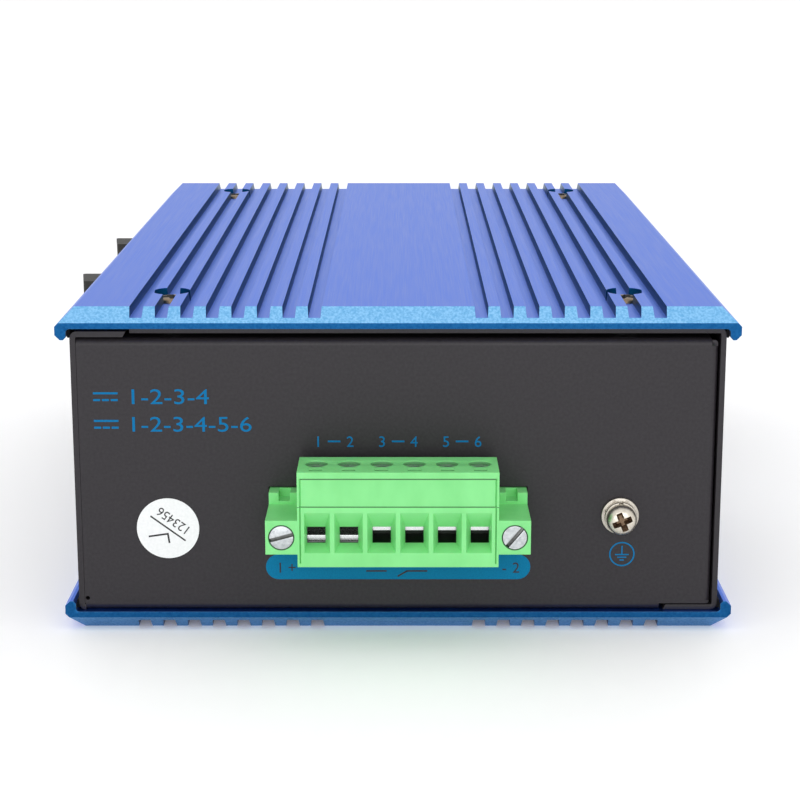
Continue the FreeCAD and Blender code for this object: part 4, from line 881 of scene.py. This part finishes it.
numerals(
    sticker_print, "123456", 0, number_foot, number_height, sticker_face, "CENTER", width=number_width)
piece_from("sticker_print", sticker_print, sticker_ink)

# Floor, light and camera
# A white table under a white light tent that lights from overhead, with one low soft box in front and the
# camera at the photograph's angle.


def seen_share(nodes, links):
    """Share that is 1 for what the camera sees, also in a glossy surface or through a clear one."""
    ray = nodes.new("ShaderNodeLightPath")
    share = ray.outputs["Is Camera Ray"]
    for kind in ("Is Glossy Ray", "Is Transmission Ray"):
        either = nodes.new("ShaderNodeMath")
        either.operation = "MAXIMUM"
        links.new(share, either.inputs[0])
        links.new(ray.outputs[kind], either.inputs[1])
        share = either.outputs[0]
    return share


table_half = 3.0
table_glow = 0.12
table = Finish("white_table", Roughness=0.6)
table.drive("Base Color", table.blend(table.grain(3 * mm), swatch(244, 244, 245), swatch(247, 247, 248)))
glow = table.add("Emission", Color=(1, 1, 1, 1))
table_seen = seen_share(table.nodes, table.links)
table.feed(glow.inputs["Strength"], table.level(table_seen, 0.0, table_glow, 0.0, 1.0))
table_and_glow = table.nodes.new("ShaderNodeAddShader")
table.feed(table_and_glow.inputs[0], table.shader.outputs[0])
table.feed(table_and_glow.inputs[1], glow.outputs[0])
table.feed(table.nodes["Material Output"].inputs["Surface"], table_and_glow.outputs[0])
floor_mesh = bmesh.new()
bmesh.ops.create_grid(floor_mesh, x_segments=1, y_segments=1, size=table_half)
floor = object_from("floor", floor_mesh, table)

tent_front, tent_back = 0.45, 1.10
tent_fade = 0.5
tent_brightest = (0, 0.5, 0.8)
world = bpy.data.worlds.new("light_tent")
bpy.context.scene.world = world
world.use_nodes = True
tent_nodes, tent_links = world.node_tree.nodes, world.node_tree.links
direction = tent_nodes.new("ShaderNodeVectorMath")
direction.operation = "DOT_PRODUCT"
direction.inputs[1].default_value = tent_brightest
tent_links.new(tent_nodes.new("ShaderNodeTexCoord").outputs["Generated"], direction.inputs[0])
strength = tent_nodes.new("ShaderNodeMapRange")
strength.interpolation_type = "SMOOTHSTEP"
strength.inputs["From Min"].default_value = -tent_fade
strength.inputs["From Max"].default_value = tent_fade
strength.inputs["To Min"].default_value = tent_front
strength.inputs["To Max"].default_value = tent_back
tent_links.new(direction.outputs["Value"], strength.inputs["Value"])
tent, white = tent_nodes["Background"], tent_nodes.new("ShaderNodeBackground")
for background in (tent, white):
    background.inputs["Color"].default_value = (1, 1, 1, 1)
tent_links.new(strength.outputs[0], tent.inputs["Strength"])
seen = tent_nodes.new("ShaderNodeMixShader")
tent_links.new(seen_share(tent_nodes, tent_links), seen.inputs[0])
tent_links.new(tent.outputs[0], seen.inputs[1])
tent_links.new(white.outputs[0], seen.inputs[2])
tent_links.new(seen.outputs[0], tent_nodes["World Output"].inputs["Surface"])

softbox = bpy.data.lights.new("front_softbox", "AREA")
softbox.shape = "RECTANGLE"
softbox.size, softbox.size_y = 0.8, 0.4
softbox.energy = 1.85
softbox_stand = bpy.data.objects.new("front_softbox", softbox)
softbox_stand.location = (0.0, -0.75, 0.24)
softbox_aim = Vector((0, -0.08, 0.03)) - softbox_stand.location
softbox_stand.rotation_euler = softbox_aim.to_track_quat("-Z", "Y").to_euler()
bpy.context.scene.collection.objects.link(softbox_stand)

tilt_down = 12.51
camera_data = bpy.data.cameras.new("camera")
camera_data.lens = 85.8
camera_data.shift_y = -0.05
camera_data.sensor_width = 36.0
camera = bpy.data.objects.new("camera", camera_data)
camera.location = (0.0003, -0.3708, 0.1096)
camera.rotation_euler = (math.radians(90 - tilt_down), 0, 0)
bpy.context.scene.collection.objects.link(camera)
bpy.context.scene.camera = camera
bpy.context.scene.view_settings.view_transform = "Standard"

# Update
# The scene is brought up to date.

bpy.context.view_layer.update()
